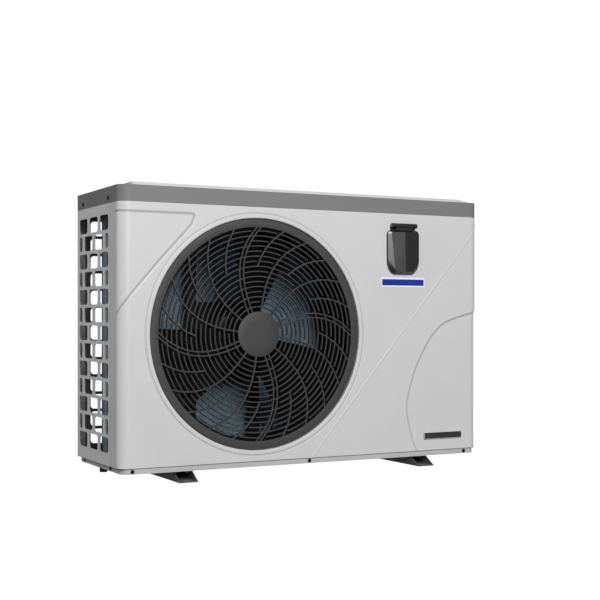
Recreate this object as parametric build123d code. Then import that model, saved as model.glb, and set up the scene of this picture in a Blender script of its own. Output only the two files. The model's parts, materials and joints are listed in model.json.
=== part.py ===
from build123d import *
from math import asin, cos, degrees, pi, radians, sin, sqrt, tan
import os

os.makedirs("parts", exist_ok=True)

# Units are millimetres. +Z is up, +X runs along the cabinet, the fan faces -Y.
# The origin is on the ground, in the middle of the four anchor slots of the feet.

# ---------------------------------------------------------------- overall sizes
RING_OUT = 260.9              # outer edge of the fan grille's solid rim
FAN_LEFT, FAN_RIGHT = 72.1, 28.1      # room beside the rim, to the side and to the partition
SERVICE_W = 320.0             # compressor compartment right of the partition
WIDTH = FAN_LEFT + 2 * RING_OUT + FAN_RIGHT + SERVICE_W     # cabinet, left to right
DEPTH = 297.0                 # cabinet, front to back
FOOT_H = 24.5                 # height of the two channel feet
PAN_H = 12.5                  # visible height of the base pan's wall
PANEL_H = 2 * RING_OUT + 53.2     # height of the cabinet panels
LID_H = 36.0                  # height of the dark lid
PLATEAU_H = 8.5               # light panel standing above the lid
R_FRONT = 24.0                # front vertical corners
R_REAR = 6.0                  # rear vertical corners

# ---------------------------------------------------------------- materials' thicknesses
SHEET = 1.5                   # painted steel
MOULD = 2.0                   # moulded grille panels
LID_T = 2.5
PAN_FLOOR = 2.0
FOOT_T = 2.0

# ---------------------------------------------------------------- named clearances
SEAM = 0.4                    # between neighbouring panels
SLIP = 0.3                    # parts that slide together once, at assembly
RUN = 0.05                    # radial, turning on a pin or a shaft
GUIDE = 0.1                   # radial, push buttons and loose nuts
TUBE_FIT = 0.1                # radial, tube in its fin pack

XL, XR = -WIDTH / 2, WIDTH / 2
YF, YB = -DEPTH / 2, DEPTH / 2
Z_PAN = FOOT_H
Z_FLOOR = Z_PAN + PAN_FLOOR
Z_PANEL = Z_PAN + PAN_H
Z_LID = Z_PANEL + PANEL_H
Z_TOP = Z_LID + LID_H

FLANGE_IN = 12.0              # turned-in edges of the cabinet panels
Y_SEAM = YF + 63.3            # the front panel wraps both sides up to here
WRAP = 20.0                   # the side panels wrap the rear corners by this much
PAN_IN_X = 8.0                # the pan stands back from the cabinet sides
PAN_IN_Y = 4.0                # and from its front and rear
PAN_R_REAR = 6.0


# ================================================================ helpers
def block(x0, x1, y0, y1, z0, z1):
    return Pos((x0 + x1) / 2, (y0 + y1) / 2, (z0 + z1) / 2) * Box(x1 - x0, y1 - y0, z1 - z0)


def rod_x(x0, x1, y, z, r):
    return Pos((x0 + x1) / 2, y, z) * Rot(0, 90, 0) * Cylinder(r, x1 - x0)


def rod_y(x, y0, y1, z, r):
    return Pos(x, (y0 + y1) / 2, z) * Rot(90, 0, 0) * Cylinder(r, y1 - y0)


def rod_z(x, y, z0, z1, r):
    return Pos(x, y, (z0 + z1) / 2) * Cylinder(r, z1 - z0)


def in_y(sketch, y0, y1):
    """Extrude a sketch drawn in (X, Z) between two Y planes."""
    plane = Plane(origin=(0, y1, 0), x_dir=(1, 0, 0), z_dir=(0, -1, 0))
    return extrude(plane * sketch, amount=y1 - y0)


def in_x(sketch, x0, x1):
    """Extrude a sketch drawn in (Y, Z) between two X planes."""
    plane = Plane(origin=(x0, 0, 0), x_dir=(0, 1, 0), z_dir=(1, 0, 0))
    return extrude(plane * sketch, amount=x1 - x0)


def in_z(sketch, z0, z1):
    """Extrude a sketch drawn in (X, Y) between two Z planes."""
    return extrude(Pos(0, 0, z0) * sketch, amount=z1 - z0)


def polygon(points):
    return make_face(Polyline(*points, close=True))


def outline(dx, dy, r_front, r_rear):
    """Cabinet outline in plan, drawn in by dx at the sides and dy at front and rear."""
    face = Rectangle(WIDTH - 2 * dx, DEPTH - 2 * dy)
    corners = face.vertices()
    face = fillet([v for v in corners if v.Y < 0], r_front)
    corners = face.vertices()
    return fillet([v for v in corners if v.Y > DEPTH / 2 - dy - 0.01], r_rear)


def shell(t0, t1, z0, z1):
    """Closed wall that follows the cabinet outline from depth t0 to depth t1."""
    outer = outline(t0, t0, R_FRONT - t0, max(R_REAR - t0, 1.0))
    inner = outline(t1, t1, R_FRONT - t1, max(R_REAR - t1, 1.0))
    return in_z(outer - inner, z0, z1)


def pipe(points, radius, wall, bend):
    """Round tube along straight runs joined by bends of one radius."""
    pts = [Vector(*p) for p in points]
    edges = []
    here = pts[0]
    for i in range(1, len(pts) - 1):
        back = (pts[i - 1] - pts[i]).normalized()
        ahead = (pts[i + 1] - pts[i]).normalized()
        half = radians(back.get_angle(ahead)) / 2
        enter = pts[i] + back * (bend / tan(half))
        leave = pts[i] + ahead * (bend / tan(half))
        centre = pts[i] + (back + ahead).normalized() * (bend / sin(half))
        middle = centre + (pts[i] - centre).normalized() * bend
        if (enter - here).length > 0.01:
            edges.append(Edge.make_line(here, enter))
        edges.append(Edge.make_three_point_arc(enter, middle, leave))
        here = leave
    edges.append(Edge.make_line(here, pts[-1]))
    path = Wire(edges)
    start = Plane(origin=pts[0], z_dir=(pts[1] - pts[0]).normalized())
    section = start * (Circle(radius) - Circle(radius - wall))
    return sweep(section, path=path)


def hexagon(across_flats):
    return RegularPolygon(across_flats / 2, 6, major_radius=False)


def solids(shape):
    return list(shape.solids())


def save(node, *shapes):
    """One STEP file per node; a node may hold several separate solids."""
    pieces = []
    for shape in shapes:
        pieces += solids(shape)
    whole = pieces[0] if len(pieces) == 1 else Compound(children=pieces)
    whole.label = node
    export_step(whole, f"parts/{node}.step")
    print(node, len(pieces))


# ================================================================ feet
FOOT_X = 312.0                # feet stand this far either side of the middle
FOOT_W = 45.0
FOOT_OVER = 5.0               # feet reach past the cabinet, front and rear
FOOT_LIP = 12.0               # lips turned in at the top of the channel
ANCHOR_Y = DEPTH / 2 - 12.0   # anchor slots, front and rear
ANCHOR_R = 5.0                # for M8 anchors
ANCHOR_LEN = 18.0
FOOT_BOLT_R = 3.0
FOOT_BOLT_HOLE = 3.3
FOOT_BOLT_Y = (YF + 45.0, YB - 70.0)
FOOT_BOLT_DX = FOOT_W / 2 - FOOT_T - FOOT_LIP / 2
SLANT = 42.0                  # the channel ends slope back by this much


def foot(x):
    half = FOOT_W / 2
    y0, y1 = YF - FOOT_OVER, YB + FOOT_OVER
    body = block(x - half, x + half, y0, y1, 0, FOOT_H)
    body -= block(x - half + FOOT_T, x + half - FOOT_T, y0, y1, FOOT_T, FOOT_H - FOOT_T)
    slot_half = half - FOOT_T - FOOT_LIP
    body -= block(x - slot_half, x + slot_half, y0, y1, FOOT_H - FOOT_T, FOOT_H)
    side = polygon([(y0, 0), (y1, 0), (y1 - SLANT, FOOT_H), (y0 + SLANT, FOOT_H)])
    body &= in_x(side, x - half, x + half)
    for y in (-ANCHOR_Y, ANCHOR_Y):
        body -= in_z(Pos(x, y) * SlotOverall(ANCHOR_LEN, 2 * ANCHOR_R), 0, FOOT_T)
    for y in FOOT_BOLT_Y:
        for dx in (-FOOT_BOLT_DX, FOOT_BOLT_DX):
            body -= rod_z(x + dx, y, FOOT_H - FOOT_T, FOOT_H, FOOT_BOLT_HOLE)
    return body


save("foot_left", foot(-FOOT_X))
save("foot_right", foot(FOOT_X))

BOLT_HEAD = 4.0
NUT_H = 5.0
bolts = []
nuts = []
for x in (-FOOT_X, FOOT_X):
    for y in FOOT_BOLT_Y:
        for dx in (-FOOT_BOLT_DX, FOOT_BOLT_DX):
            low = FOOT_H - FOOT_T - NUT_H - 2.0
            at = Pos(x + dx, y, 0)
            bolt = rod_z(x + dx, y, low, Z_FLOOR, FOOT_BOLT_R)
            bolt += at * in_z(hexagon(10.0), Z_FLOOR, Z_FLOOR + BOLT_HEAD)
            bolts.append(bolt)
            nut = at * in_z(hexagon(10.0), FOOT_H - FOOT_T - NUT_H, FOOT_H - FOOT_T)
            nuts.append(nut - rod_z(x + dx, y, 0, FOOT_H, FOOT_BOLT_R + RUN))
save("foot_bolts_and_nuts", *bolts, *nuts)

# ================================================================ base pan
SCREW_Z = Z_PAN + PAN_H / 2
BASE_SCREW_X = (XL + 30.8, -8.0, XR - 43.0)
SIDE_SCREW_Y = (YF + 79.0, YF + 261.0)
SCREW_R = 1.9
SCREW_HOLE = 2.2
SCREW_HEAD_R = 4.5
SCREW_HEAD_H = 2.2
TAB_HALF = 7.0
TAB_SHIFT = 5.0               # the end tabs stand clear of the pan's rounded corners
DRAIN_X, DRAIN_Y = XL + 31.0, YF + 195.6
DRAIN_BORE = 6.5


def pan_outline(grow):
    r0 = R_FRONT - PAN_IN_Y - grow
    return outline(PAN_IN_X + grow, PAN_IN_Y + grow, r0, PAN_R_REAR - grow)


pan = in_z(pan_outline(0), Z_PAN, Z_FLOOR)
pan += in_z(pan_outline(0) - pan_outline(SHEET), Z_FLOOR, Z_PANEL)
for x in BASE_SCREW_X:
    pan -= rod_y(x, YF, YF + 12, SCREW_Z, SCREW_HOLE)
for y in SIDE_SCREW_Y:
    pan -= rod_x(XL, XL + 15, y, SCREW_Z, SCREW_HOLE)
    pan -= rod_x(XR - 15, XR, y, SCREW_Z, SCREW_HOLE)
for x in (-FOOT_X, FOOT_X):
    for y in FOOT_BOLT_Y:
        for dx in (-FOOT_BOLT_DX, FOOT_BOLT_DX):
            pan -= rod_z(x + dx, y, Z_PAN, Z_FLOOR, FOOT_BOLT_HOLE)
pan -= rod_z(DRAIN_X, DRAIN_Y, Z_PAN, Z_FLOOR, DRAIN_BORE)
save("base_pan", pan)

DRAIN_R = 9.0
DRAIN_LOW = 9.0
spigot = rod_z(DRAIN_X, DRAIN_Y, DRAIN_LOW, Z_PAN - 2.0, DRAIN_R)
spigot += rod_z(DRAIN_X, DRAIN_Y, Z_PAN - 2.0, Z_PAN, DRAIN_R + 4.0)
spigot -= rod_z(DRAIN_X, DRAIN_Y, DRAIN_LOW, Z_PAN, DRAIN_BORE)
save("drain_spigot", spigot)


# ================================================================ cabinet panels
def cabinet_shell(thick):
    """Panel wall with its turned-in edges at the top and at the bottom."""
    wall = shell(0, thick, Z_PANEL, Z_LID)
    wall += shell(0, FLANGE_IN, Z_PANEL, Z_PANEL + SHEET)
    wall += shell(0, FLANGE_IN, Z_LID - SHEET, Z_LID)
    return wall


TAB_Y = YF + PAN_IN_Y + SHEET + SLIP       # tabs hang inside the pan's wall
TAB_X = PAN_IN_X + SHEET + SLIP
TAB_LOW = Z_FLOOR + 1.0
LID_SCREW_Y = (YF + 71.0, YF + 247.8)
LID_SCREW_Z = Z_LID + 11.5
LID_TAB = LID_T + SLIP                     # tabs stand inside the lid's wall

thin = cabinet_shell(SHEET)
thick = cabinet_shell(MOULD)


def side_tabs(side):
    """Screw tabs of a side panel: side is -1 for the left and +1 for the right."""
    tabs = []
    for y in SIDE_SCREW_Y:
        x0 = side * (XR - TAB_X)
        x1 = side * (XR - TAB_X - SHEET)
        tab = block(min(x0, x1), max(x0, x1), y - TAB_HALF, y + TAB_HALF, TAB_LOW, Z_PANEL + SHEET)
        tabs.append(tab - rod_x(min(x0, x1), max(x0, x1), y, SCREW_Z, SCREW_R + RUN))
    for y in LID_SCREW_Y:
        x0 = side * (XR - LID_TAB)
        x1 = side * (XR - LID_TAB - SHEET)
        tab = block(min(x0, x1), max(x0, x1), y - 6, y + 6, Z_LID - SHEET, LID_SCREW_Z + 8)
        tabs.append(tab - rod_x(min(x0, x1), max(x0, x1), y, LID_SCREW_Z, SCREW_R + RUN))
    return tabs


# ---------------------------------------------------------------- fan position and grille sizes
FAN_X = XL + FAN_LEFT + RING_OUT
FAN_Z = Z_PANEL + PANEL_H / 2 - 0.5
RIM_W = 18.5
RING_IN = RING_OUT - RIM_W
HUB_R = 51.6
COLLAR_R = RING_OUT + 1.6     # round hole in the front panel
GRILLE_BACK = 9.0             # the rim rests this far behind the front face
GRILLE_D = 5.0
LEDGE_IN = RING_IN + 3.6       # the rim rests on this ledge

# ---------------------------------------------------------------- controller position
CTRL_X = XR - 226.0
CTRL_W = 90.0
CTRL_LOW = Z_PANEL + 429.5
CTRL_TOP = Z_PANEL + 535.0
CUT_W, CUT_LOW, CUT_TOP = CTRL_W - 14.0, CTRL_LOW + 8.0, CTRL_TOP - 8.0

# ---------------------------------------------------------------- front panel
front = thin & block(XL - 1, XR + 1, YF - 1, Y_SEAM - SEAM / 2, 0, Z_TOP)
front -= rod_y(FAN_X, YF - 1, YF + SHEET, FAN_Z, COLLAR_R)
collar = Circle(COLLAR_R + SHEET) - Circle(COLLAR_R)
ledge = Circle(COLLAR_R + SHEET) - Circle(LEDGE_IN)
front += in_y(Pos(FAN_X, FAN_Z) * collar, YF, YF + GRILLE_BACK)
front += in_y(Pos(FAN_X, FAN_Z) * ledge, YF + GRILLE_BACK, YF + GRILLE_BACK + SHEET)
for x, shift in zip(BASE_SCREW_X, (TAB_SHIFT, 0, -TAB_SHIFT)):
    tab = block(x + shift - TAB_HALF, x + shift + TAB_HALF, TAB_Y, TAB_Y + SHEET, TAB_LOW,
                Z_PANEL + SHEET)
    front += tab - rod_y(x, TAB_Y, TAB_Y + SHEET, SCREW_Z, SCREW_R + RUN)
# pressed lines of the front face: a ring about the fan, a corner field, a long
# diagonal, and an arc that sets off the lower right corner
PRESS = 0.6
PRESS_W = 5.0
ring_line = Circle(275.1) - Circle(272.1)
front -= in_y(Pos(FAN_X, FAN_Z) * ring_line, YF, YF + PRESS)
field = [(XL + 30, Z_PANEL + 553), (XL + 170, Z_PANEL + 553), (XL + 174, Z_PANEL + 540),
         (XL + 92.5, Z_PANEL + 449.7), (XL + 30, Z_PANEL + 383)]
for a, b in zip(field, field[1:]):
    front -= in_y(trace(Line(a, b), PRESS_W), YF, YF + PRESS)
diagonal = Line((XR - 32, Z_PANEL + 515.5), (XR - 468, Z_PANEL + 8))
front -= in_y(trace(diagonal, PRESS_W), YF, YF + PRESS)
sweep_line = ThreePointArc((XR - 32, Z_PANEL + 337), (XR - 180.5, Z_PANEL + 221.7),
                           (XR - 190, Z_PANEL + 8))
front -= in_y(trace(sweep_line, PRESS_W), YF, YF + PRESS)
cut_mid = (CUT_LOW + CUT_TOP) / 2
window = Pos(CTRL_X, cut_mid) * RectangleRounded(CUT_W, CUT_TOP - CUT_LOW, 4)
front -= in_y(window, YF - 1, YF + SHEET + 1)
save("front_panel", front)

# ---------------------------------------------------------------- panels with the open pattern
ROW_PITCH = 40.84
ROWS = 13
HOLE_H = 34.0
HOLE_R = 8.0
COL_PITCH = 73.0
HOLE_W = 58.5
ROW_0 = Z_PANEL + 44.7                  # centre of the lowest row
EDGE = 9.0                              # solid band left at a panel's ends
REAR_SHIFT = 50.0
REAR_EDGE = 13.0                        # band left on the rear grille beside the wrapped corner


def openings(lo, hi, shift=COL_PITCH / 2):
    """Rounded openings between two limits; every second row is shifted sideways."""
    holes = []
    for row in range(ROWS):
        z = ROW_0 + row * ROW_PITCH
        mid = lo + HOLE_W / 2 + (shift if row % 2 else 0)
        while mid - COL_PITCH > lo - HOLE_W / 2:
            mid -= COL_PITCH
        while mid - HOLE_W / 2 < hi:
            a, b = max(mid - HOLE_W / 2, lo), min(mid + HOLE_W / 2, hi)
            if b - a > 2 * HOLE_R + 1:
                holes.append(Pos((a + b) / 2, z) * RectangleRounded(b - a, HOLE_H, HOLE_R))
            mid += COL_PITCH
    return holes


left = thick & block(XL - 1, XL + WRAP, Y_SEAM + SEAM / 2, YB + 1, 0, Z_TOP)
for tab in side_tabs(-1):
    left += tab
left_holes = openings(Y_SEAM + EDGE, YB - WRAP)
left -= in_x(Sketch() + left_holes, XL - 1, XL + MOULD + 1)
save("left_grille_panel", left)

REAR_SPLIT = XR - SERVICE_W
rear = thick & block(XL + WRAP + SEAM, REAR_SPLIT - SEAM / 2, YB - 2 * FLANGE_IN, YB + 1, 0, Z_TOP)
rear_holes = openings(XL + WRAP + REAR_EDGE, REAR_SPLIT - 2 * EDGE, REAR_SHIFT)
rear -= in_y(Sketch() + rear_holes, YB - MOULD - 1, YB + 1)
save("rear_grille_panel", rear)

service = thin & block(REAR_SPLIT + SEAM / 2, XR - WRAP - SEAM, YB - 2 * FLANGE_IN, YB + 1, 0, Z_TOP)
LOUVRE_W, LOUVRE_H = 60.0, 6.0
for column in (-1, 0, 1):
    for row in range(8):
        x = (REAR_SPLIT + XR - WRAP) / 2 + column * 80
        z = Z_PANEL + 60 + row * 16
        service -= in_y(Pos(x, z) * SlotOverall(LOUVRE_W, LOUVRE_H), YB - SHEET - 1, YB + 1)
save("rear_service_panel", service)

# ---------------------------------------------------------------- right side panel
PORT_Y = 40.0
PORT_Z = (Z_PANEL + 80.0, Z_PANEL + 345.0)
STUB_R = 30.0
GLAND_Y, GLAND_Z = -40.0, Z_PANEL + 210.0
GLAND_R = 10.0
HANDLE_Y, HANDLE_Z = 30.0, Z_PANEL + 470.0
HANDLE_W, HANDLE_H = 120.0, 40.0
HANDLE_DEPTH = 22.0
right = thin & block(XR - WRAP, XR + 1, Y_SEAM + SEAM / 2, YB + 1, 0, Z_TOP)
for tab in side_tabs(1):
    right += tab
for z in PORT_Z:
    right -= rod_x(XR - 5, XR + 1, PORT_Y, z, STUB_R + 2.0)
right -= rod_x(XR - 5, XR + 1, GLAND_Y, GLAND_Z, GLAND_R + SLIP)
recess = Pos(HANDLE_Y, HANDLE_Z) * RectangleRounded(HANDLE_W, HANDLE_H, 8)
right -= in_x(recess, XR - 5, XR + 1)
save("right_side_panel", right)

cup_out = Pos(HANDLE_Y, HANDLE_Z) * RectangleRounded(HANDLE_W - 2 * SLIP, HANDLE_H - 2 * SLIP, 7.5)
cup_in = Pos(HANDLE_Y, HANDLE_Z) * RectangleRounded(HANDLE_W - 5, HANDLE_H - 5, 6)
rim = Pos(HANDLE_Y, HANDLE_Z) * RectangleRounded(HANDLE_W + 10, HANDLE_H + 10, 12)
handle = in_x(cup_out, XR - HANDLE_DEPTH, XR)
handle += in_x(rim, XR, XR + 2.0)
handle -= in_x(cup_in, XR - HANDLE_DEPTH + 2.0, XR + 2.0)
save("side_handle", handle)

# ================================================================ lid
lid = shell(0, LID_T, Z_LID, Z_TOP)
RIM_IN = 30.0                 # width of the lid's flat rim
PLATE_L, PLATE_R = 36.0, 12.0
PLATE_Y = 20.0
hole = Pos((PLATE_L - PLATE_R) / 2, 0) * RectangleRounded(
    WIDTH - PLATE_L - PLATE_R - 2 * RIM_IN, DEPTH - 2 * PLATE_Y - 2 * RIM_IN, 12)
top_face = outline(0, 0, R_FRONT, R_REAR) - hole
lid += in_z(top_face, Z_TOP - LID_T, Z_TOP)
for y in LID_SCREW_Y:
    lid -= rod_x(XL - 1, XL + LID_T + 1, y, LID_SCREW_Z, SCREW_HOLE)
    lid -= rod_x(XR - LID_T - 1, XR + 1, y, LID_SCREW_Z, SCREW_HOLE)
save("top_cover", lid)

PLATE_SLOPE = 34.0            # the panel falls away to the right over this length
PLATE_END = 2.5               # and is this high at its right edge


def plateau(inset):
    """Raised panel shrunk by an inset on its sides and top."""
    face = Pos((PLATE_L - PLATE_R) / 2, 0) * RectangleRounded(
        WIDTH - PLATE_L - PLATE_R - 2 * inset, DEPTH - 2 * PLATE_Y - 2 * inset, 12 - inset)
    x1, z1 = XR - PLATE_R - inset, Z_TOP + PLATEAU_H - inset
    low = Z_TOP + PLATE_END - inset
    wedge = polygon([(x1 - PLATE_SLOPE, z1), (x1, low), (x1 + 1, low), (x1 + 1, z1 + 1),
                     (x1 - PLATE_SLOPE, z1 + 1)])
    return in_z(face, Z_TOP, z1) - in_y(wedge, YF, YB)


top = plateau(0) - plateau(SHEET)
save("top_panel", top)


# ================================================================ screws
def screw(tip):
    """Round-head screw along +Z from its seat at the origin, tip pointing down."""
    body = Pos(0, 0, -tip / 2) * Cylinder(SCREW_R, tip)
    head = Cylinder(SCREW_HEAD_R, SCREW_HEAD_H, align=(Align.CENTER, Align.CENTER, Align.MIN))
    head = fillet(head.edges().group_by(Axis.Z)[-1], SCREW_HEAD_H * 0.6)
    socket = Pos(0, 0, SCREW_HEAD_H - 0.9) * (Box(5, 1, 2) + Box(1, 5, 2))
    return body + head - socket


base_screws = [Pos(x, YF + PAN_IN_Y, SCREW_Z) * Rot(90, 0, 0) * screw(8) for x in BASE_SCREW_X]
for y in SIDE_SCREW_Y:
    base_screws.append(Pos(XL + PAN_IN_X, y, SCREW_Z) * Rot(0, -90, 0) * screw(8))
    base_screws.append(Pos(XR - PAN_IN_X, y, SCREW_Z) * Rot(0, 90, 0) * screw(8))
save("base_screws", *base_screws)
lid_screws = []
for y in LID_SCREW_Y:
    lid_screws.append(Pos(XL, y, LID_SCREW_Z) * Rot(0, -90, 0) * screw(9))
    lid_screws.append(Pos(XR, y, LID_SCREW_Z) * Rot(0, 90, 0) * screw(9))
save("lid_screws", *lid_screws)

# ================================================================ fan grille
RINGS = 16
RING_1 = 62.4
RING_LAST = 7.95              # from the last ring to the rim
RING_STEP = (RING_IN - RING_LAST - RING_1) / (RINGS - 1)
WIRE = 3.0
RIB = 3.6
RIBS = 12
RIB_FIRST = 23.0              # hub angle of the first rib, degrees
BOW_MID, BOW_END = 6.9, 23.3  # how far a rib leans back at mid radius and at the rim
MID_R = RING_IN - 88.8
PAIR = 5.0                    # half distance of the doubled ribs
FREE_GAP = 7.0                # free ring ends stop this far short of the next rib


def polar(r, angle):
    return (r * cos(radians(angle)), r * sin(radians(angle)))


def lean(r):
    """Angle by which a rib has fallen behind its hub angle at radius r."""
    x1, y1 = polar(HUB_R, 0)
    u = (r - HUB_R) / (RING_IN - HUB_R)
    m = (MID_R - HUB_R) / (RING_IN - HUB_R)
    b = (BOW_MID - BOW_END * m) / (m * m - m)
    return b * u * u + (BOW_END - b) * u


def rib(angle, r0, shift):
    pts = []
    for i in range(7):
        r = r0 + (RING_IN + 3 - r0) * i / 6
        a = angle - lean(min(r, RING_IN)) + degrees(asin(shift / r))
        pts.append(polar(r, a))
    return trace(Spline(*pts), RIB)


doubles = (0, 3, 6, 9)
faces = [Circle(RING_OUT) - Circle(RING_IN), Circle(HUB_R)]
for k in range(RIBS):
    angle = RIB_FIRST + 30 * k
    shifts = (-PAIR, PAIR) if k in doubles else (0,)
    for shift in shifts:
        faces.append(rib(angle, HUB_R - 3, shift))
    faces.append(rib(angle + 15, RING_1 + 8 * RING_STEP, 0))
for k in range(RINGS):
    r = RING_1 + k * RING_STEP
    if k % 2 == 0:
        faces.append(Circle(r + WIRE / 2) - Circle(r - WIRE / 2))
        continue
    outer_zone = k > 8
    count = 2 * RIBS if outer_zone else RIBS
    for i in range(count):
        start = RIB_FIRST + 360 / count * i - lean(r)
        stop = start + 360 / count - degrees(FREE_GAP / r)
        on_pair = (i % (6 if outer_zone else 3)) == 0
        pair_next = ((i + 1) % (6 if outer_zone else 3)) == 0
        first = start + (degrees(FREE_GAP / r) + (degrees(PAIR / r) if on_pair else 0))
        last = start + 360 / count - (degrees(PAIR / r) if pair_next else 0)
        mid = (first + last) / 2
        arc = ThreePointArc(polar(r, first), polar(r, mid), polar(r, last))
        faces.append(trace(arc, WIRE))
mesh = Sketch() + faces
grille = in_y(Pos(FAN_X, FAN_Z) * mesh, YF + GRILLE_BACK - GRILLE_D, YF + GRILLE_BACK)
save("fan_grille", grille)

# ================================================================ fan, orifice and motor
TIP_R = RING_IN - 14.4
FAN_Y = YF + 58.0             # middle plane of the blades
HALF_D = 38.0                 # blades reach this far either side of it
TIP_GAP = 10.0
BORE_R = TIP_R + TIP_GAP      # orifice
ORIFICE_T = 2.0
ORIFICE_FLANGE = COLLAR_R + 17.5
FLANGE_Y = YF + GRILLE_BACK + SHEET
BARREL_END = FAN_Y + 30.0
orifice = in_y(Pos(FAN_X, FAN_Z) * (Circle(ORIFICE_FLANGE) - Circle(BORE_R)),
               FLANGE_Y, FLANGE_Y + ORIFICE_T)
orifice += in_y(Pos(FAN_X, FAN_Z) * (Circle(BORE_R + ORIFICE_T) - Circle(BORE_R)),
                FLANGE_Y, BARREL_END)
save("fan_orifice", orifice)

SHAFT_R = 6.0
FAN_HUB_R = 46.0
BLADES = 3
BLADE_T = 3.0
BLADE_FIRST = 75.0
# radius, chord, pitch in degrees and sideways offset of the blade sections
STATIONS = ((FAN_HUB_R - 8, 62.0, 42.0, 0.0), (110.0, 130.0, 32.0, 14.0),
            (175.0, 178.0, 25.0, 22.0), (TIP_R + 12, 215.0, 19.0, 18.0))


def blade():
    sections = []
    for r, chord, pitch, offset in STATIONS:
        across = (0, cos(radians(pitch)), sin(radians(pitch)))
        plane = Plane(origin=(r, offset, 0), x_dir=across, z_dir=(1, 0, 0))
        sections.append(plane * RectangleRounded(chord, BLADE_T, BLADE_T * 0.45))
    return loft(sections) & Cylinder(TIP_R, 2 * HALF_D)


HUB_FRONT, HUB_BACK = 30.0, -34.0
hub = Pos(0, 0, (HUB_FRONT + HUB_BACK) / 2) * Cylinder(FAN_HUB_R, HUB_FRONT - HUB_BACK)
hub = fillet(hub.edges().group_by(Axis.Z)[-1], 8)
fan = hub
for k in range(BLADES):
    fan += Rot(0, 0, BLADE_FIRST + 360 / BLADES * k) * blade()
fan -= Pos(0, 0, HUB_FRONT) * Cylinder(14, 16)
fan -= Cylinder(SHAFT_R + RUN, 200)
to_fan = Pos(FAN_X, FAN_Y, FAN_Z) * Rot(90, 0, 0)
save("fan_blade", to_fan * fan)

NUT_SEAT = HUB_FRONT - 8.0
fan_nut = Pos(0, 0, NUT_SEAT) * in_z(hexagon(18), 0, 6.5) - Cylinder(SHAFT_R + RUN, 200)
save("fan_nut", to_fan * fan_nut)

BRACKET_Y = YF + 200.0        # front face of the motor plate
BAR_W = 25.0
BAR_D = 12.0
BAR_FOOT = 18.0               # foot tab welded under each bar
BAR_X = 83.0
PLATE_UP, PLATE_DOWN = 75.0, 119.0
MOTOR_R = 52.0
MOTOR_L = 74.0
MOTOR_END = 12.0              # closed rear end of the motor behind its shaft
shaft_back = BRACKET_Y - MOTOR_END
save("motor_shaft", rod_y(FAN_X, FAN_Y - HUB_FRONT - 2, shaft_back, FAN_Z, SHAFT_R))

motor_y0 = BRACKET_Y - MOTOR_L
motor = rod_y(FAN_X, motor_y0, BRACKET_Y, FAN_Z, MOTOR_R)
motor = fillet(motor.edges().group_by(Axis.Y)[0], 8)
for k in range(18):
    fin = Rot(0, k * 20, 0) * block(MOTOR_R - 3, MOTOR_R + 3, -MOTOR_L * 0.35, MOTOR_L * 0.25, -1.2, 1.2)
    motor += Pos(FAN_X, motor_y0 + MOTOR_L * 0.5, FAN_Z) * fin
motor -= rod_y(FAN_X, motor_y0 - 1, shaft_back + 1, FAN_Z, SHAFT_R + RUN)
save("fan_motor", motor)

BAR_TOP = Z_LID - 6.0
bracket = block(FAN_X - BAR_X - BAR_W / 2, FAN_X + BAR_X + BAR_W / 2, BRACKET_Y, BRACKET_Y + SHEET,
                FAN_Z - PLATE_DOWN, FAN_Z + PLATE_UP)
for side in (-1, 1):
    x = FAN_X + side * BAR_X
    bar = block(x - BAR_W / 2, x + BAR_W / 2, BRACKET_Y, BRACKET_Y + BAR_D, Z_FLOOR, BAR_TOP)
    bar -= block(x - BAR_W / 2 + SHEET, x + BAR_W / 2 - SHEET, BRACKET_Y + SHEET, BRACKET_Y + BAR_D,
                 Z_FLOOR, BAR_TOP)
    bracket += bar
    bracket += block(x - BAR_W / 2, x + BAR_W / 2, BRACKET_Y, BRACKET_Y + BAR_FOOT, Z_FLOOR,
                     Z_FLOOR + SHEET)
bracket -= rod_y(FAN_X, BRACKET_Y - 1, BRACKET_Y + SHEET + 1, FAN_Z, 20)
save("motor_bracket", bracket)

# ================================================================ evaporator
COIL_Y0, COIL_Y1 = YB - 56.5, YB - 18.5
FIN_Z0, FIN_Z1 = Z_FLOOR + 4.0, Z_LID - 8.0
TUBE_R = 4.76
TUBE_WALL = 0.6
TUBE_PITCH = 25.4
TUBES = 22
TUBE_Z0 = FIN_Z0 + 15.0
TUBE_ROWS = (COIL_Y0 + 9.5, COIL_Y1 - 9.5)
END_T = 1.5
FIN_STEP = 6.0
FIN_CUT = 3.0
BEND = TUBE_PITCH / 2
BEND_REACH = 6.0              # straight part between an end plate and the bends
BEND_ROOM = 2.0               # air between the bends and the cover folded around them
COVER_X0 = XL + 55.0
COIL_X0 = COVER_X0 + 2 * END_T + BEND_ROOM + TUBE_R + BEND + BEND_REACH
COIL_X1 = REAR_SPLIT - 51.0
HEADER_R = 7.0
HEADER_X = COIL_X1 + 36.0
HEADER_Y = (COIL_Y0 + COIL_Y1) / 2

fin_face = Pos((COIL_X0 + COIL_X1) / 2, (COIL_Y0 + COIL_Y1) / 2) * Rectangle(
    COIL_X1 - COIL_X0, COIL_Y1 - COIL_Y0)
grooves = []
for i in range(int((COIL_X1 - COIL_X0) / FIN_STEP)):
    x = COIL_X0 + FIN_STEP * (i + 0.5)
    grooves.append(Pos(x, COIL_Y0 + FIN_CUT / 2) * Rectangle(FIN_STEP * 0.6, FIN_CUT))
    grooves.append(Pos(x, COIL_Y1 - FIN_CUT / 2) * Rectangle(FIN_STEP * 0.6, FIN_CUT))
fins = in_z(fin_face - grooves, FIN_Z0, FIN_Z1)
tube_holes = []
plate_holes = []
for y in TUBE_ROWS:
    for i in range(TUBES):
        spot = Pos(y, TUBE_Z0 + i * TUBE_PITCH)
        tube_holes.append(spot * Circle(TUBE_R + TUBE_FIT))
        plate_holes.append(spot * Circle(TUBE_R + SLIP))
fins -= in_x(Sketch() + tube_holes, COIL_X0 - 1, COIL_X1 + 1)
save("evaporator_fins", fins)

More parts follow.
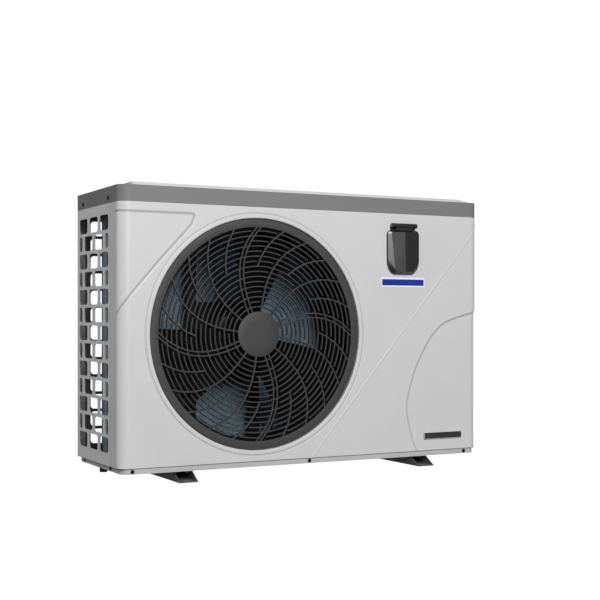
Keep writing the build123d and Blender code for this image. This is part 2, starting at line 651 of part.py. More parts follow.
plate_face = polygon([(COIL_Y0 - 2, Z_FLOOR), (COIL_Y1 + 2, Z_FLOOR), (COIL_Y1 + 2, BAR_TOP),
                      (COIL_Y0 - 2, BAR_TOP)]) - plate_holes
# the end plates carry folded covers in front of the bends and the headers
left_end = in_x(plate_face, COIL_X0 - END_T, COIL_X0)
left_end += block(COVER_X0, COIL_X0, COIL_Y0 - 2, COIL_Y0 - 2 + END_T, Z_FLOOR, BAR_TOP)
left_end += block(COVER_X0, COVER_X0 + END_T, COIL_Y0 - 2, COIL_Y1 + 2, Z_FLOOR, BAR_TOP)
right_end = in_x(plate_face, COIL_X1, COIL_X1 + END_T)
right_end += block(COIL_X1, HEADER_X + HEADER_R, COIL_Y0 - 2, COIL_Y0 - 2 + END_T, Z_FLOOR, BAR_TOP)
save("evaporator_end_plates", left_end, right_end)

circuits = []
for y in TUBE_ROWS:
    pts = [(HEADER_X - HEADER_R + 0.8, y, TUBE_Z0)]
    for i in range(TUBES):
        z = TUBE_Z0 + i * TUBE_PITCH
        xa, xb = COIL_X0 - END_T - BEND_REACH - BEND, COIL_X1 + END_T + BEND_REACH + BEND
        if i % 2 == 0:
            pts += [(xa, y, z), (xa, y, z + TUBE_PITCH)]
        elif i < TUBES - 1:
            pts += [(xb, y, z), (xb, y, z + TUBE_PITCH)]
    pts.append((HEADER_X - HEADER_R + 0.8, y, TUBE_Z0 + (TUBES - 1) * TUBE_PITCH))
    circuits.append(pipe(pts, TUBE_R, TUBE_WALL, BEND))
save("evaporator_tubes", *circuits)

last_z = TUBE_Z0 + (TUBES - 1) * TUBE_PITCH
gas_low, gas_high = last_z - 30, last_z + 12
liquid_low, liquid_high = TUBE_Z0 - 12, TUBE_Z0 + 50
save("evaporator_headers", rod_z(HEADER_X, HEADER_Y, gas_low, gas_high, HEADER_R),
     rod_z(HEADER_X, HEADER_Y, liquid_low, liquid_high, HEADER_R))

# ================================================================ partition
PART_X = REAR_SPLIT
GAS_Z = Z_PANEL + 353.0
LIQUID_Z = Z_PANEL + 113.0
GROMMET_R = 10.0
partition = block(PART_X, PART_X + SHEET, YF + FLANGE_IN + 2, YB - FLANGE_IN - 2, Z_FLOOR, BAR_TOP)
partition += block(PART_X - 14, PART_X, YF + FLANGE_IN + 2, YF + FLANGE_IN + 2 + SHEET, Z_FLOOR,
                   Z_FLOOR + 12)
partition += block(PART_X, PART_X + 14, YF + FLANGE_IN + 2, YB - FLANGE_IN - 2, Z_FLOOR,
                   Z_FLOOR + SHEET)
for z in (GAS_Z, LIQUID_Z):
    partition -= rod_x(PART_X - 1, PART_X + SHEET + 1, HEADER_Y, z, GROMMET_R)
save("partition_panel", partition)

PIPE_R = 6.0
PIPE_WALL = 1.0
LIQUID_R = 4.0
grommets = []
for z, r in ((GAS_Z, PIPE_R), (LIQUID_Z, LIQUID_R)):
    g = rod_x(PART_X - 2, PART_X + SHEET + 2, HEADER_Y, z, GROMMET_R + 3)
    g -= rod_x(PART_X, PART_X + SHEET, HEADER_Y, z, GROMMET_R + 4)
    g += rod_x(PART_X - 2, PART_X + SHEET + 2, HEADER_Y, z, GROMMET_R)
    grommets.append(g - rod_x(PART_X - 3, PART_X + SHEET + 3, HEADER_Y, z, r + SLIP))
save("pipe_grommets", *grommets)

# ================================================================ compressor
COMP_X, COMP_Y = XR - 209.0, -45.0
COMP_R = 58.0
COMP_PLATE = Z_FLOOR + 16.0
COMP_LOW = COMP_PLATE + 4.0
COMP_TOP = COMP_LOW + 284.0
MOUNT_R = 78.0                # circle of the three rubber mounts
STUD_R = 3.5
comp = rod_z(COMP_X, COMP_Y, COMP_LOW, COMP_TOP, COMP_R)
comp = fillet(comp.edges().group_by(Axis.Z)[-1], 30)
comp = fillet(comp.edges().group_by(Axis.Z)[0], 14)
plate = Circle(COMP_R * 0.8)
for k in range(3):
    x, y = polar(MOUNT_R, 120 * k + 90)
    plate += Pos(x, y) * Circle(13)
    plate += Rot(0, 0, 120 * k + 90) * Pos(MOUNT_R / 2, 0) * Rectangle(MOUNT_R, 20)
comp += Pos(COMP_X, COMP_Y) * in_z(plate, COMP_PLATE, COMP_LOW)
mounts = []
studs = []
for k in range(3):
    x, y = polar(MOUNT_R, 120 * k + 90)
    x, y = COMP_X + x, COMP_Y + y
    comp -= rod_z(x, y, COMP_PLATE - 1, COMP_LOW + 1, STUD_R + SLIP)
    rubber = rod_z(x, y, Z_FLOOR, COMP_PLATE, 12)
    rubber -= rod_z(x, y, Z_FLOOR + 6, Z_FLOOR + 9, 13) - rod_z(x, y, Z_FLOOR + 6, Z_FLOOR + 9, 9)
    mounts.append(rubber - rod_z(x, y, Z_FLOOR, COMP_PLATE, STUD_R + SLIP))
    stud = rod_z(x, y, Z_FLOOR, COMP_LOW + 10, STUD_R)
    studs.append(stud + Pos(x, y) * in_z(hexagon(13), COMP_LOW, COMP_LOW + 6))
save("compressor", comp)
save("compressor_rubber_mounts", *mounts)
save("compressor_studs", *studs)

TERM_Z0, TERM_Z1 = COMP_LOW + 170, COMP_LOW + 225
term = block(COMP_X - 24, COMP_X + 24, COMP_Y - COMP_R - 22, COMP_Y, TERM_Z0, TERM_Z1)
term = fillet(term.edges().filter_by(Axis.Y), 8)
term -= rod_z(COMP_X, COMP_Y, TERM_Z0 - 1, TERM_Z1 + 1, COMP_R + SLIP)
save("compressor_terminal_cover", term)

ACC_X, ACC_Y, ACC_R = COMP_X + 96, COMP_Y - 40, 30.0
ACC_Z0, ACC_Z1 = COMP_LOW + 44, COMP_LOW + 214
acc = rod_z(ACC_X, ACC_Y, ACC_Z0, ACC_Z1, ACC_R)
acc = fillet(acc.edges().group_by(Axis.Z)[-1], 16)
acc = fillet(acc.edges().group_by(Axis.Z)[0], 16)
gap = sqrt(96.0 ** 2 + 40.0 ** 2) - COMP_R - ACC_R
angle = degrees(asin(-40.0 / sqrt(96.0 ** 2 + 40.0 ** 2)))
arm = block(COMP_R + SLIP, COMP_R + gap + 6, -9, 9, COMP_LOW + 120, COMP_LOW + 124)
acc += Pos(COMP_X, COMP_Y) * Rot(0, 0, angle) * arm
save("compressor_accumulator", acc)

# suction elbow from the accumulator into the side of the compressor
elbow_z = COMP_LOW + 22
ax, ay = ACC_X - COMP_X, ACC_Y - COMP_Y
far = sqrt(ax * ax + ay * ay)
near = (COMP_X + ax * (COMP_R + SLIP) / far, COMP_Y + ay * (COMP_R + SLIP) / far, elbow_z)
elbow = pipe([(ACC_X, ACC_Y, ACC_Z0 - SLIP), (ACC_X, ACC_Y, elbow_z), near], PIPE_R, PIPE_WALL, 14)

# ================================================================ water exchanger and unions
EX_X, EX_Y, EX_R = XR - 74.0, PORT_Y, 58.0
EX_TOP = Z_PANEL + 393.0
exchanger = rod_z(EX_X, EX_Y, Z_FLOOR, EX_TOP, EX_R)
exchanger += rod_z(EX_X, EX_Y, Z_FLOOR, Z_FLOOR + 26, EX_R + 2)
exchanger += rod_z(EX_X, EX_Y, EX_TOP - 26, EX_TOP, EX_R + 4)
STUB_END = XR + 22.0
STUB_BORE = STUB_R - 8.0
for z in PORT_Z:
    exchanger += rod_x(EX_X + 20, STUB_END, EX_Y, z, STUB_R)
for z in PORT_Z:
    exchanger -= rod_x(EX_X + EX_R - 20, STUB_END + 1, EX_Y, z, STUB_BORE)
save("water_exchanger", exchanger)

SOCKET_R = 25.1               # for 50 mm pipe, glued
TAIL_R = STUB_R + 1.0
TAIL_FLANGE = STUB_R + 3.5
TAIL_END = STUB_END + 34.0
NUT_X0, NUT_X1 = XR + 5.0, STUB_END + 10.0
NUT_R = STUB_R + 13.0
for name, z in zip(("inlet", "outlet"), PORT_Z):
    tail = rod_x(STUB_END, TAIL_END, EX_Y, z, TAIL_R)
    tail += rod_x(STUB_END, STUB_END + 5, EX_Y, z, TAIL_FLANGE)
    tail -= rod_x(STUB_END - 1, TAIL_END + 1, EX_Y, z, STUB_BORE)
    tail -= rod_x(STUB_END + 8, TAIL_END + 1, EX_Y, z, SOCKET_R)
    save(f"water_{name}_union", tail)
    nut = rod_x(NUT_X0, NUT_X1, EX_Y, z, NUT_R)
    ribs = []
    for k in range(12):
        ribs.append(rod_x(NUT_X0, NUT_X1, EX_Y + polar(NUT_R, 30 * k)[0],
                          z + polar(NUT_R, 30 * k)[1], 3))
    for r in ribs:
        nut += r
    nut -= rod_x(NUT_X0 - 1, STUB_END, EX_Y, z, STUB_R + GUIDE)
    nut -= rod_x(STUB_END - SLIP, STUB_END + 5 + SLIP, EX_Y, z, TAIL_FLANGE + GUIDE)
    nut -= rod_x(STUB_END, NUT_X1 + 1, EX_Y, z, TAIL_R + GUIDE)
    save(f"water_{name}_nut", nut)

# ================================================================ valves and refrigerant pipes
VALVE_Y, VALVE_Z = 30.0, Z_PANEL + 393.0
VALVE_R = 13.0
PORT_STEP = 32.5
valve = rod_x(COMP_X - 47, COMP_X + 47, VALVE_Y, VALVE_Z, VALVE_R)
for dx in (-PORT_STEP, 0, PORT_STEP):
    valve += rod_z(COMP_X + dx, VALVE_Y, VALVE_Z - 24, VALVE_Z, PIPE_R + 1.5)
    valve -= rod_z(COMP_X + dx, VALVE_Y, VALVE_Z - 25, VALVE_Z - 14, PIPE_R + SLIP)
valve += rod_z(COMP_X, VALVE_Y, VALVE_Z, VALVE_Z + 24, PIPE_R + 1.5)
valve -= rod_z(COMP_X, VALVE_Y, VALVE_Z + 14, VALVE_Z + 25, PIPE_R + SLIP)
coil_body = rod_x(COMP_X - 20, COMP_X + 20, VALVE_Y + 24, VALVE_Z + 2, 8)
valve += coil_body
valve += block(COMP_X - 6, COMP_X + 6, VALVE_Y, VALVE_Y + 24, VALVE_Z - 3, VALVE_Z + 3)
save("four_way_valve", valve)

low, high = VALVE_Z - 15, VALVE_Z + 15
discharge = pipe([(COMP_X, COMP_Y, COMP_TOP + SLIP), (COMP_X, COMP_Y, VALVE_Z + 40),
                  (COMP_X, VALVE_Y, VALVE_Z + 40), (COMP_X, VALVE_Y, high)], PIPE_R, PIPE_WALL, 14)
save("discharge_pipe", discharge)

run_x = COMP_X + 54
suction = pipe([(COMP_X, VALVE_Y, low), (COMP_X, VALVE_Y, VALVE_Z - 58),
                (run_x, VALVE_Y, VALVE_Z - 58), (run_x, ACC_Y, VALVE_Z - 58),
                (ACC_X, ACC_Y, VALVE_Z - 58), (ACC_X, ACC_Y, ACC_Z1 + SLIP)], PIPE_R, PIPE_WALL, 14)
save("suction_pipes", suction, elbow)

gas_x = COMP_X - 82
gas = pipe([(COMP_X - PORT_STEP, VALVE_Y, low), (COMP_X - PORT_STEP, VALVE_Y, GAS_Z),
            (gas_x, VALVE_Y, GAS_Z), (gas_x, HEADER_Y, GAS_Z), (HEADER_X, HEADER_Y, GAS_Z),
            (HEADER_X, HEADER_Y, gas_low - SLIP)], PIPE_R, PIPE_WALL, 12)

over_z = EX_TOP + 26
hot_x = COMP_X + 62
hot = pipe([(COMP_X + PORT_STEP, VALVE_Y, low), (COMP_X + PORT_STEP, VALVE_Y, VALVE_Z - 34),
            (hot_x, VALVE_Y, VALVE_Z - 34), (hot_x, VALVE_Y, over_z), (EX_X, VALVE_Y, over_z),
            (EX_X, VALVE_Y, EX_TOP + SLIP)], PIPE_R, PIPE_WALL, 12)
save("gas_pipes", gas, hot)

EXP_X, EXP_Y, EXP_R = XR - 271.0, 80.0, 14.0
EXP_Z0, EXP_Z1 = LIQUID_Z - 20, LIQUID_Z + 26
exp_valve = rod_z(EXP_X, EXP_Y, EXP_Z0, EXP_Z1 - 20, 9)
exp_valve += rod_z(EXP_X, EXP_Y, EXP_Z1 - 22, EXP_Z1 + 12, EXP_R)
exp_valve += rod_x(EXP_X - 18, EXP_X, EXP_Y, LIQUID_Z - 8, LIQUID_R + 2)
exp_valve -= rod_x(EXP_X - 19, EXP_X - 8, EXP_Y, LIQUID_Z - 8, LIQUID_R + SLIP)
save("expansion_valve", exp_valve)

side_z = Z_PANEL + 50.0
liquid_in = pipe([(EX_X - EX_R - SLIP, EX_Y, side_z), (EXP_X, EX_Y, side_z), (EXP_X, EXP_Y, side_z),
                  (EXP_X, EXP_Y, EXP_Z0 - SLIP)], LIQUID_R, PIPE_WALL, 10)
liquid_out = pipe([(EXP_X - 9, EXP_Y, LIQUID_Z - 8), (EXP_X - 34, EXP_Y, LIQUID_Z - 8),
                   (EXP_X - 34, EXP_Y, LIQUID_Z), (EXP_X - 34, HEADER_Y, LIQUID_Z),
                   (HEADER_X, HEADER_Y, LIQUID_Z), (HEADER_X, HEADER_Y, liquid_high + SLIP)],
                  LIQUID_R, PIPE_WALL, 3.9)
save("liquid_pipes", liquid_in, liquid_out)

# ================================================================ electrical box
BOX_X0, BOX_X1 = PART_X + SHEET, XR - 31.0
BOX_Y0, BOX_Y1 = YF + 38.0, YB - 58.0
BOX_Z0, BOX_Z1 = Z_PANEL + 450.0, Z_LID - 14.0
box = block(BOX_X0, BOX_X1, BOX_Y0, BOX_Y1, BOX_Z0, BOX_Z1)
box -= block(BOX_X0 + SHEET, BOX_X1 - SHEET, BOX_Y0 + SHEET, BOX_Y1 - SHEET, BOX_Z0 + SHEET, BOX_Z1)
BOARD_IN = 18.0
STAND = 8.0
board_spots = [(x, y) for x in (BOX_X0 + BOARD_IN + 8, BOX_X1 - BOARD_IN - 8)
               for y in (BOX_Y0 + BOARD_IN + 8, BOX_Y1 - BOARD_IN - 8)]
for x, y in board_spots:
    box += rod_z(x, y, BOX_Z0 + SHEET, BOX_Z0 + SHEET + STAND, 4)
save("control_box", box)

BOARD_Z = BOX_Z0 + SHEET + STAND
board = block(BOX_X0 + BOARD_IN, BOX_X1 - BOARD_IN, BOX_Y0 + BOARD_IN, BOX_Y1 - BOARD_IN,
              BOARD_Z, BOARD_Z + 1.6)
save("control_board", board)
top_z = BOARD_Z + 1.6
cx, cy = (BOX_X0 + BOX_X1) / 2, (BOX_Y0 + BOX_Y1) / 2
parts = [rod_z(cx - 90 + 34 * i, cy + 40, top_z, top_z + 40, 14) for i in range(3)]
parts += [block(cx + 20 + 30 * i, cx + 42 + 30 * i, cy + 30, cy + 50, top_z, top_z + 22) for i in range(3)]
parts.append(block(cx - 100, cx - 40, cy - 50, cy - 5, top_z, top_z + 34))
parts.append(block(cx - 20, cx + 90, cy - 60, cy - 44, top_z, top_z + 14))
parts.append(rod_z(cx + 60, cy - 10, top_z, top_z + 26, 20) - rod_z(cx + 60, cy - 10, top_z, top_z + 26, 9))
save("board_components", *parts)

GLAND_LEN = 34.0
CABLE_R = 6.5
gland = rod_x(XR - 14, XR + 20, GLAND_Y, GLAND_Z, GLAND_R)
gland += in_x(Pos(GLAND_Y, GLAND_Z) * hexagon(26), XR, XR + 6)
gland += in_x(Pos(GLAND_Y, GLAND_Z) * hexagon(24), XR + 8, XR + 20)
gland -= rod_x(XR - 15, XR + 21, GLAND_Y, GLAND_Z, CABLE_R)
locknut = in_x(Pos(GLAND_Y, GLAND_Z) * hexagon(26), XR - SHEET - 5, XR - SHEET)
save("cable_gland", gland, locknut - rod_x(XR - 10, XR, GLAND_Y, GLAND_Z, GLAND_R + RUN))

# ================================================================ controller
BASE_T = 2.0
PLATE_Y0 = YF - BASE_T
HINGE_Y, HINGE_Z = YF - 8.0, CTRL_TOP + 10.7
KNUCKLE_R = 5.7
PIN_R = 1.6
HINGE_HALF = CTRL_W / 2 - 10.2
MID_HALF = HINGE_HALF - 10.8
POCKET = 14.0

flange = Pos(CTRL_X, (CTRL_LOW + CTRL_TOP) / 2) * RectangleRounded(CTRL_W - 6, CTRL_TOP - CTRL_LOW - 6, 5)
notch = 20.0
flange -= Pos(CTRL_X - CTRL_W / 2, CTRL_LOW) * Rot(0, 0, 45) * Rectangle(2 * notch, 2 * notch)
flange -= Pos(CTRL_X + CTRL_W / 2, CTRL_LOW) * Rot(0, 0, 45) * Rectangle(2 * notch, 2 * notch)
tray = Pos(CTRL_X, cut_mid) * RectangleRounded(CUT_W - 2 * SLIP, CUT_TOP - CUT_LOW - 2 * SLIP, 3.7)
inside = Pos(CTRL_X, cut_mid) * RectangleRounded(CUT_W - 5, CUT_TOP - CUT_LOW - 5, 2)
base = in_y(flange, PLATE_Y0, YF)
base += in_y(tray, YF, YF + POCKET)
base -= in_y(inside, PLATE_Y0 - 1, YF + POCKET - BASE_T)
for side in (-1, 1):
    a = CTRL_X + side * (MID_HALF + SLIP)
    b = CTRL_X + side * HINGE_HALF
    x0, x1 = min(a, b), max(a, b)
    base += rod_x(x0, x1, HINGE_Y, HINGE_Z, KNUCKLE_R)
    base += block(x0, x1, HINGE_Y, YF, HINGE_Z - 2, HINGE_Z + 2)
    base += block(x0, x1, PLATE_Y0, YF, CTRL_TOP - 6, HINGE_Z + 2)
base -= rod_x(CTRL_X - 50, CTRL_X + 50, HINGE_Y, HINGE_Z, PIN_R + RUN)
save("controller_base", base)
save("controller_hinge_pin", rod_x(CTRL_X - HINGE_HALF, CTRL_X + HINGE_HALF, HINGE_Y, HINGE_Z, PIN_R))

# display module: face plate, window and circuit board in the base's pocket
FACE_Y0, FACE_Y1 = YF - 1.0, YF + 1.0
BUTTON_R = 4.5
BUTTON_OUT = 1.2
BUTTON_TRAVEL = 1.0
FLANGE_R = 5.6
face_w, face_h = CUT_W - 5 - 2 * SLIP, CUT_TOP - CUT_LOW - 5 - 2 * SLIP
face = Pos(CTRL_X, cut_mid) * RectangleRounded(face_w, face_h, 1.8)
names = ("power", "mode", "timer", "up", "down")
button_x = [CTRL_X - 26 + 13 * i for i in range(5)]
button_z = CUT_LOW + 16.0
for x in button_x:
    face -= Pos(x, button_z) * Circle(BUTTON_R + GUIDE)
display = in_y(face, FACE_Y0, FACE_Y1)
for dx in (-1, 1):
    wall_x = CTRL_X + dx * (face_w / 2 - 1)
    display += block(wall_x - 1, wall_x + 1, FACE_Y1, YF + POCKET - BASE_T, cut_mid - face_h / 2 + 4,
                     cut_mid + face_h / 2 - 4)
save("display_module", display)
glass = Pos(CTRL_X, cut_mid + 14) * RectangleRounded(54, 38, 2)
save("display_window", in_y(glass, FACE_Y0 - 0.8, FACE_Y0))

for name, x in zip(names, button_x):
    cap = rod_y(x, FACE_Y0 - BUTTON_OUT, FACE_Y1, button_z, BUTTON_R)
    cap = fillet(cap.edges().group_by(Axis.Y)[0], 0.5)
    cap += rod_y(x, FACE_Y1, FACE_Y1 + 1.4, button_z, FLANGE_R)
    save(f"button_{name}", cap)

# hinged cover: a faceted shell with an off-centre vertical ridge
COVER_Y = YF - BASE_T - 0.5
RIDGE = 7.0


def cover_body(grow, y_in):
    """Cover volume; grow is negative for the cavity."""
    half = CTRL_W / 2 + grow
    lo, hi = CTRL_LOW - grow, CTRL_TOP + grow
    cut_x, cut_z = 20.0, 33.5
    front_face = polygon([(CTRL_X - half, lo + cut_z), (CTRL_X - half + cut_x, lo),
                          (CTRL_X + half - cut_x, lo), (CTRL_X + half, lo + cut_z),
                          (CTRL_X + half, hi), (CTRL_X - half, hi)])
    top_corners = [v for v in front_face.vertices() if v.Y > hi - 0.1]
    front_face = fillet(top_corners, 9 + grow)
    solid = in_y(front_face, COVER_Y - 30, y_in)
    plan = polygon([(CTRL_X - half, y_in), (CTRL_X - half, COVER_Y - 5 - grow),
                    (CTRL_X - half + 12, COVER_Y - 12 - grow), (CTRL_X + RIDGE, COVER_Y - 17 - grow),
                    (CTRL_X + half - 12, COVER_Y - 12 - grow), (CTRL_X + half, COVER_Y - 5 - grow),
                    (CTRL_X + half, y_in)])
    solid &= in_z(plan, CTRL_LOW - 20, CTRL_TOP + 20)
    profile = polygon([(y_in, lo), (COVER_Y - 8 - grow, lo), (COVER_Y - 17 - grow, lo + 20),
                       (COVER_Y - 9 - grow, hi), (y_in, hi)])
    return solid & in_x(profile, CTRL_X - CTRL_W, CTRL_X + CTRL_W)


COVER_T = 2.2
cover = cover_body(0.0, COVER_Y) - cover_body(-COVER_T, COVER_Y + 1)
neck_x0, neck_x1 = CTRL_X - MID_HALF, CTRL_X + MID_HALF
cover += rod_x(neck_x0, neck_x1, HINGE_Y, HINGE_Z, KNUCKLE_R)
cover += block(neck_x0, neck_x1, HINGE_Y - 3, HINGE_Y + 2, CTRL_TOP - 1, HINGE_Z)
cover -= rod_x(CTRL_X - 50, CTRL_X + 50, HINGE_Y, HINGE_Z, PIN_R + RUN)
save("controller_cover", cover)

# ================================================================ bare plates
PLATE_T = 0.8
upper = Pos(CTRL_X + 2, Z_PANEL + 409.5) * RectangleRounded(124, 23, 2)
save("name_plate_upper", in_y(upper, YF - PLATE_T, YF))
lower = Pos(XR - 107, Z_PANEL + 36) * RectangleRounded(110, 16, 1.5)
save("name_plate_lower", in_y(lower, YF - PLATE_T, YF))
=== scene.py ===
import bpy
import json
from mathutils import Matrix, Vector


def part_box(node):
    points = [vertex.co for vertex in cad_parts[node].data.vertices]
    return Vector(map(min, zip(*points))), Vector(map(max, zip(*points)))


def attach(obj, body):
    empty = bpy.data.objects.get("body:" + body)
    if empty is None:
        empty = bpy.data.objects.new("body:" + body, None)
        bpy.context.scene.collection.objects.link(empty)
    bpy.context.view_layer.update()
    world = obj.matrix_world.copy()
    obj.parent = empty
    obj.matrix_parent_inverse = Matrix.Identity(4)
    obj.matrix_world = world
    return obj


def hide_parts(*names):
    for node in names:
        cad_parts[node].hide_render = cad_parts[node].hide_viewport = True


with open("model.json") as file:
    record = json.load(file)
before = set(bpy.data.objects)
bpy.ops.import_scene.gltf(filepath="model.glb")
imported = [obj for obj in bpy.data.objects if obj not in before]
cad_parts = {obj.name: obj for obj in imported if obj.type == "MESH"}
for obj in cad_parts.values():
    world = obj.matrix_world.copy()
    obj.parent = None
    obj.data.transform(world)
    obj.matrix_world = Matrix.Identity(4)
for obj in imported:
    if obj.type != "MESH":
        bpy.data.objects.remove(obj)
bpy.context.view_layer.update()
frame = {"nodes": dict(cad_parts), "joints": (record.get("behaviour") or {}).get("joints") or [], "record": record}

import json
import math

import bmesh
import bpy
import numpy as np
from mathutils import Vector
from mathutils.geometry import delaunay_2d_cdt

NODES = frame["nodes"]
JOINT_AT = {joint["name"]: joint.get("pos_m") for joint in frame["joints"]}
MM = 0.001


def box_mm(node):
    """Lowest and highest corner of a CAD node, in millimetres."""
    return [np.round(np.array(corner) / MM, 3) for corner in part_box(node)]


def joint_mm(name):
    """Place of a joint, in millimetres."""
    return [round(v / MM, 3) for v in JOINT_AT[name]]


panel_lo, panel_hi = box_mm("front_panel")
XL, YF = panel_lo[0], panel_lo[1]        # left side and front of the cabinet
W = panel_hi[0] - XL
Y_SEAM = panel_hi[1]                     # where the front panel meets the side panels
ZP = box_mm("base_pan")[1][2]            # foot of the cabinet panels
ZL = panel_hi[2]                         # top of the cabinet panels
FAN_X, _, FAN_Z = joint_mm("fan_spin")
FAN_T = FAN_X - XL
R_CORNER = 24.0
scene = bpy.context.scene


# ------------------------------------------------------------------ materials
COAT_ROUGH = 0.08
GLOSS_VARY = 0.08                        # how far the roughness strays either way
GRAIN_DEEP = 0.0004
MOTTLE_SIZE = 9.0


def material(name, color, rough=0.5, metallic=0.0, grain=900.0, bump=0.05, vary=0.04, coat=0.0, spec=0.5,
             inner=None, walls=0.0, line=False):
    """Procedural finish: large soft mottling, fine grain in the bump and uneven gloss.

    inner (axis, sign, colour) is painted shade: a dark grey laid on the faces turned that way, where the cabinet's
    inside lies in shade; walls darkens cut edges square to that axis, painted shade on the hole walls; line reads
    the painted shade of the pressed lines from their attribute."""
    m = bpy.data.materials.new(name)
    m.use_nodes = True
    nt = m.node_tree
    bsdf = nt.nodes["Principled BSDF"]
    bsdf.inputs["Metallic"].default_value = metallic
    bsdf.inputs["Coat Weight"].default_value = coat
    bsdf.inputs["Coat Roughness"].default_value = COAT_ROUGH
    bsdf.inputs["Specular IOR Level"].default_value = spec
    place = nt.nodes.new("ShaderNodeTexCoord")

    def noise(scale, detail):
        n = nt.nodes.new("ShaderNodeTexNoise")
        n.inputs["Scale"].default_value = scale
        n.inputs["Detail"].default_value = detail
        nt.links.new(place.outputs["Object"], n.inputs["Vector"])
        return n.outputs["Fac"]

    def spread(value, low, high, to_low, to_high):
        n = nt.nodes.new("ShaderNodeMapRange")
        for socket, number in (("From Min", low), ("From Max", high),
                               ("To Min", to_low), ("To Max", to_high)):
            n.inputs[socket].default_value = number
        nt.links.new(value, n.inputs["Value"])
        return n.outputs["Result"]

    def math_node(op, a, b):
        n = nt.nodes.new("ShaderNodeMath")
        n.operation = op
        nt.links.new(a, n.inputs[0])
        if isinstance(b, float):
            n.inputs[1].default_value = b
        else:
            nt.links.new(b, n.inputs[1])
        return n.outputs["Value"]

    def fade(factor, a, b):
        mix = nt.nodes.new("ShaderNodeMix")
        mix.data_type = "RGBA"
        nt.links.new(factor, mix.inputs[0])
        nt.links.new(a, mix.inputs[6])
        mix.inputs[7].default_value = (*b, 1)
        return mix.outputs[2]

    mottle, fine = noise(MOTTLE_SIZE, 4.0), noise(grain, 3.0)
    soft = spread(mottle, 0.3, 0.7, 1.0 - vary, 1.0 + vary)
    speck = spread(fine, 0.35, 0.65, 1.0 - vary * 0.6, 1.0 + vary * 0.6)
    tint = nt.nodes.new("ShaderNodeVectorMath")
    tint.operation = "SCALE"
    tint.inputs[0].default_value = color
    nt.links.new(math_node("MULTIPLY", soft, speck), tint.inputs["Scale"])
    shade = tint.outputs["Vector"]
    # painted shade: faces turned to the inside get a dark grey, and hole walls square to the axis are darkened by
    # walls
    if inner:
        axis, sign, inner_shade = inner
        sep = nt.nodes.new("ShaderNodeSeparateXYZ")
        nt.links.new(place.outputs["Normal"], sep.inputs["Vector"])
        along = math_node("MULTIPLY", sep.outputs[axis], float(sign))
        side = math_node("SUBTRACT", math_node("ABSOLUTE", along, 0.0), 0.45)
        side = math_node("LESS_THAN", side, 0.0)
        shade = fade(math_node("MULTIPLY", side, walls), shade, inner_shade)
        shade = fade(math_node("GREATER_THAN", along, 0.5), shade, inner_shade)
    # the pressed lines' attribute darkens the paint towards black: painted shade in the grooves
    if line:
        pressed = nt.nodes.new("ShaderNodeAttribute")
        pressed.attribute_name = "pressed"
        shade = fade(pressed.outputs["Fac"], shade, (0.0, 0.0, 0.0))
    nt.links.new(shade, bsdf.inputs["Base Color"])
    gloss = spread(mottle, 0.3, 0.7, max(rough - GLOSS_VARY, 0.02), min(rough + GLOSS_VARY, 1.0))
    nt.links.new(gloss, bsdf.inputs["Roughness"])
    bumps = nt.nodes.new("ShaderNodeBump")
    bumps.inputs["Strength"].default_value = bump
    bumps.inputs["Distance"].default_value = GRAIN_DEEP
    nt.links.new(fine, bumps.inputs["Height"])
    nt.links.new(bumps.outputs["Normal"], bsdf.inputs["Normal"])
    return m


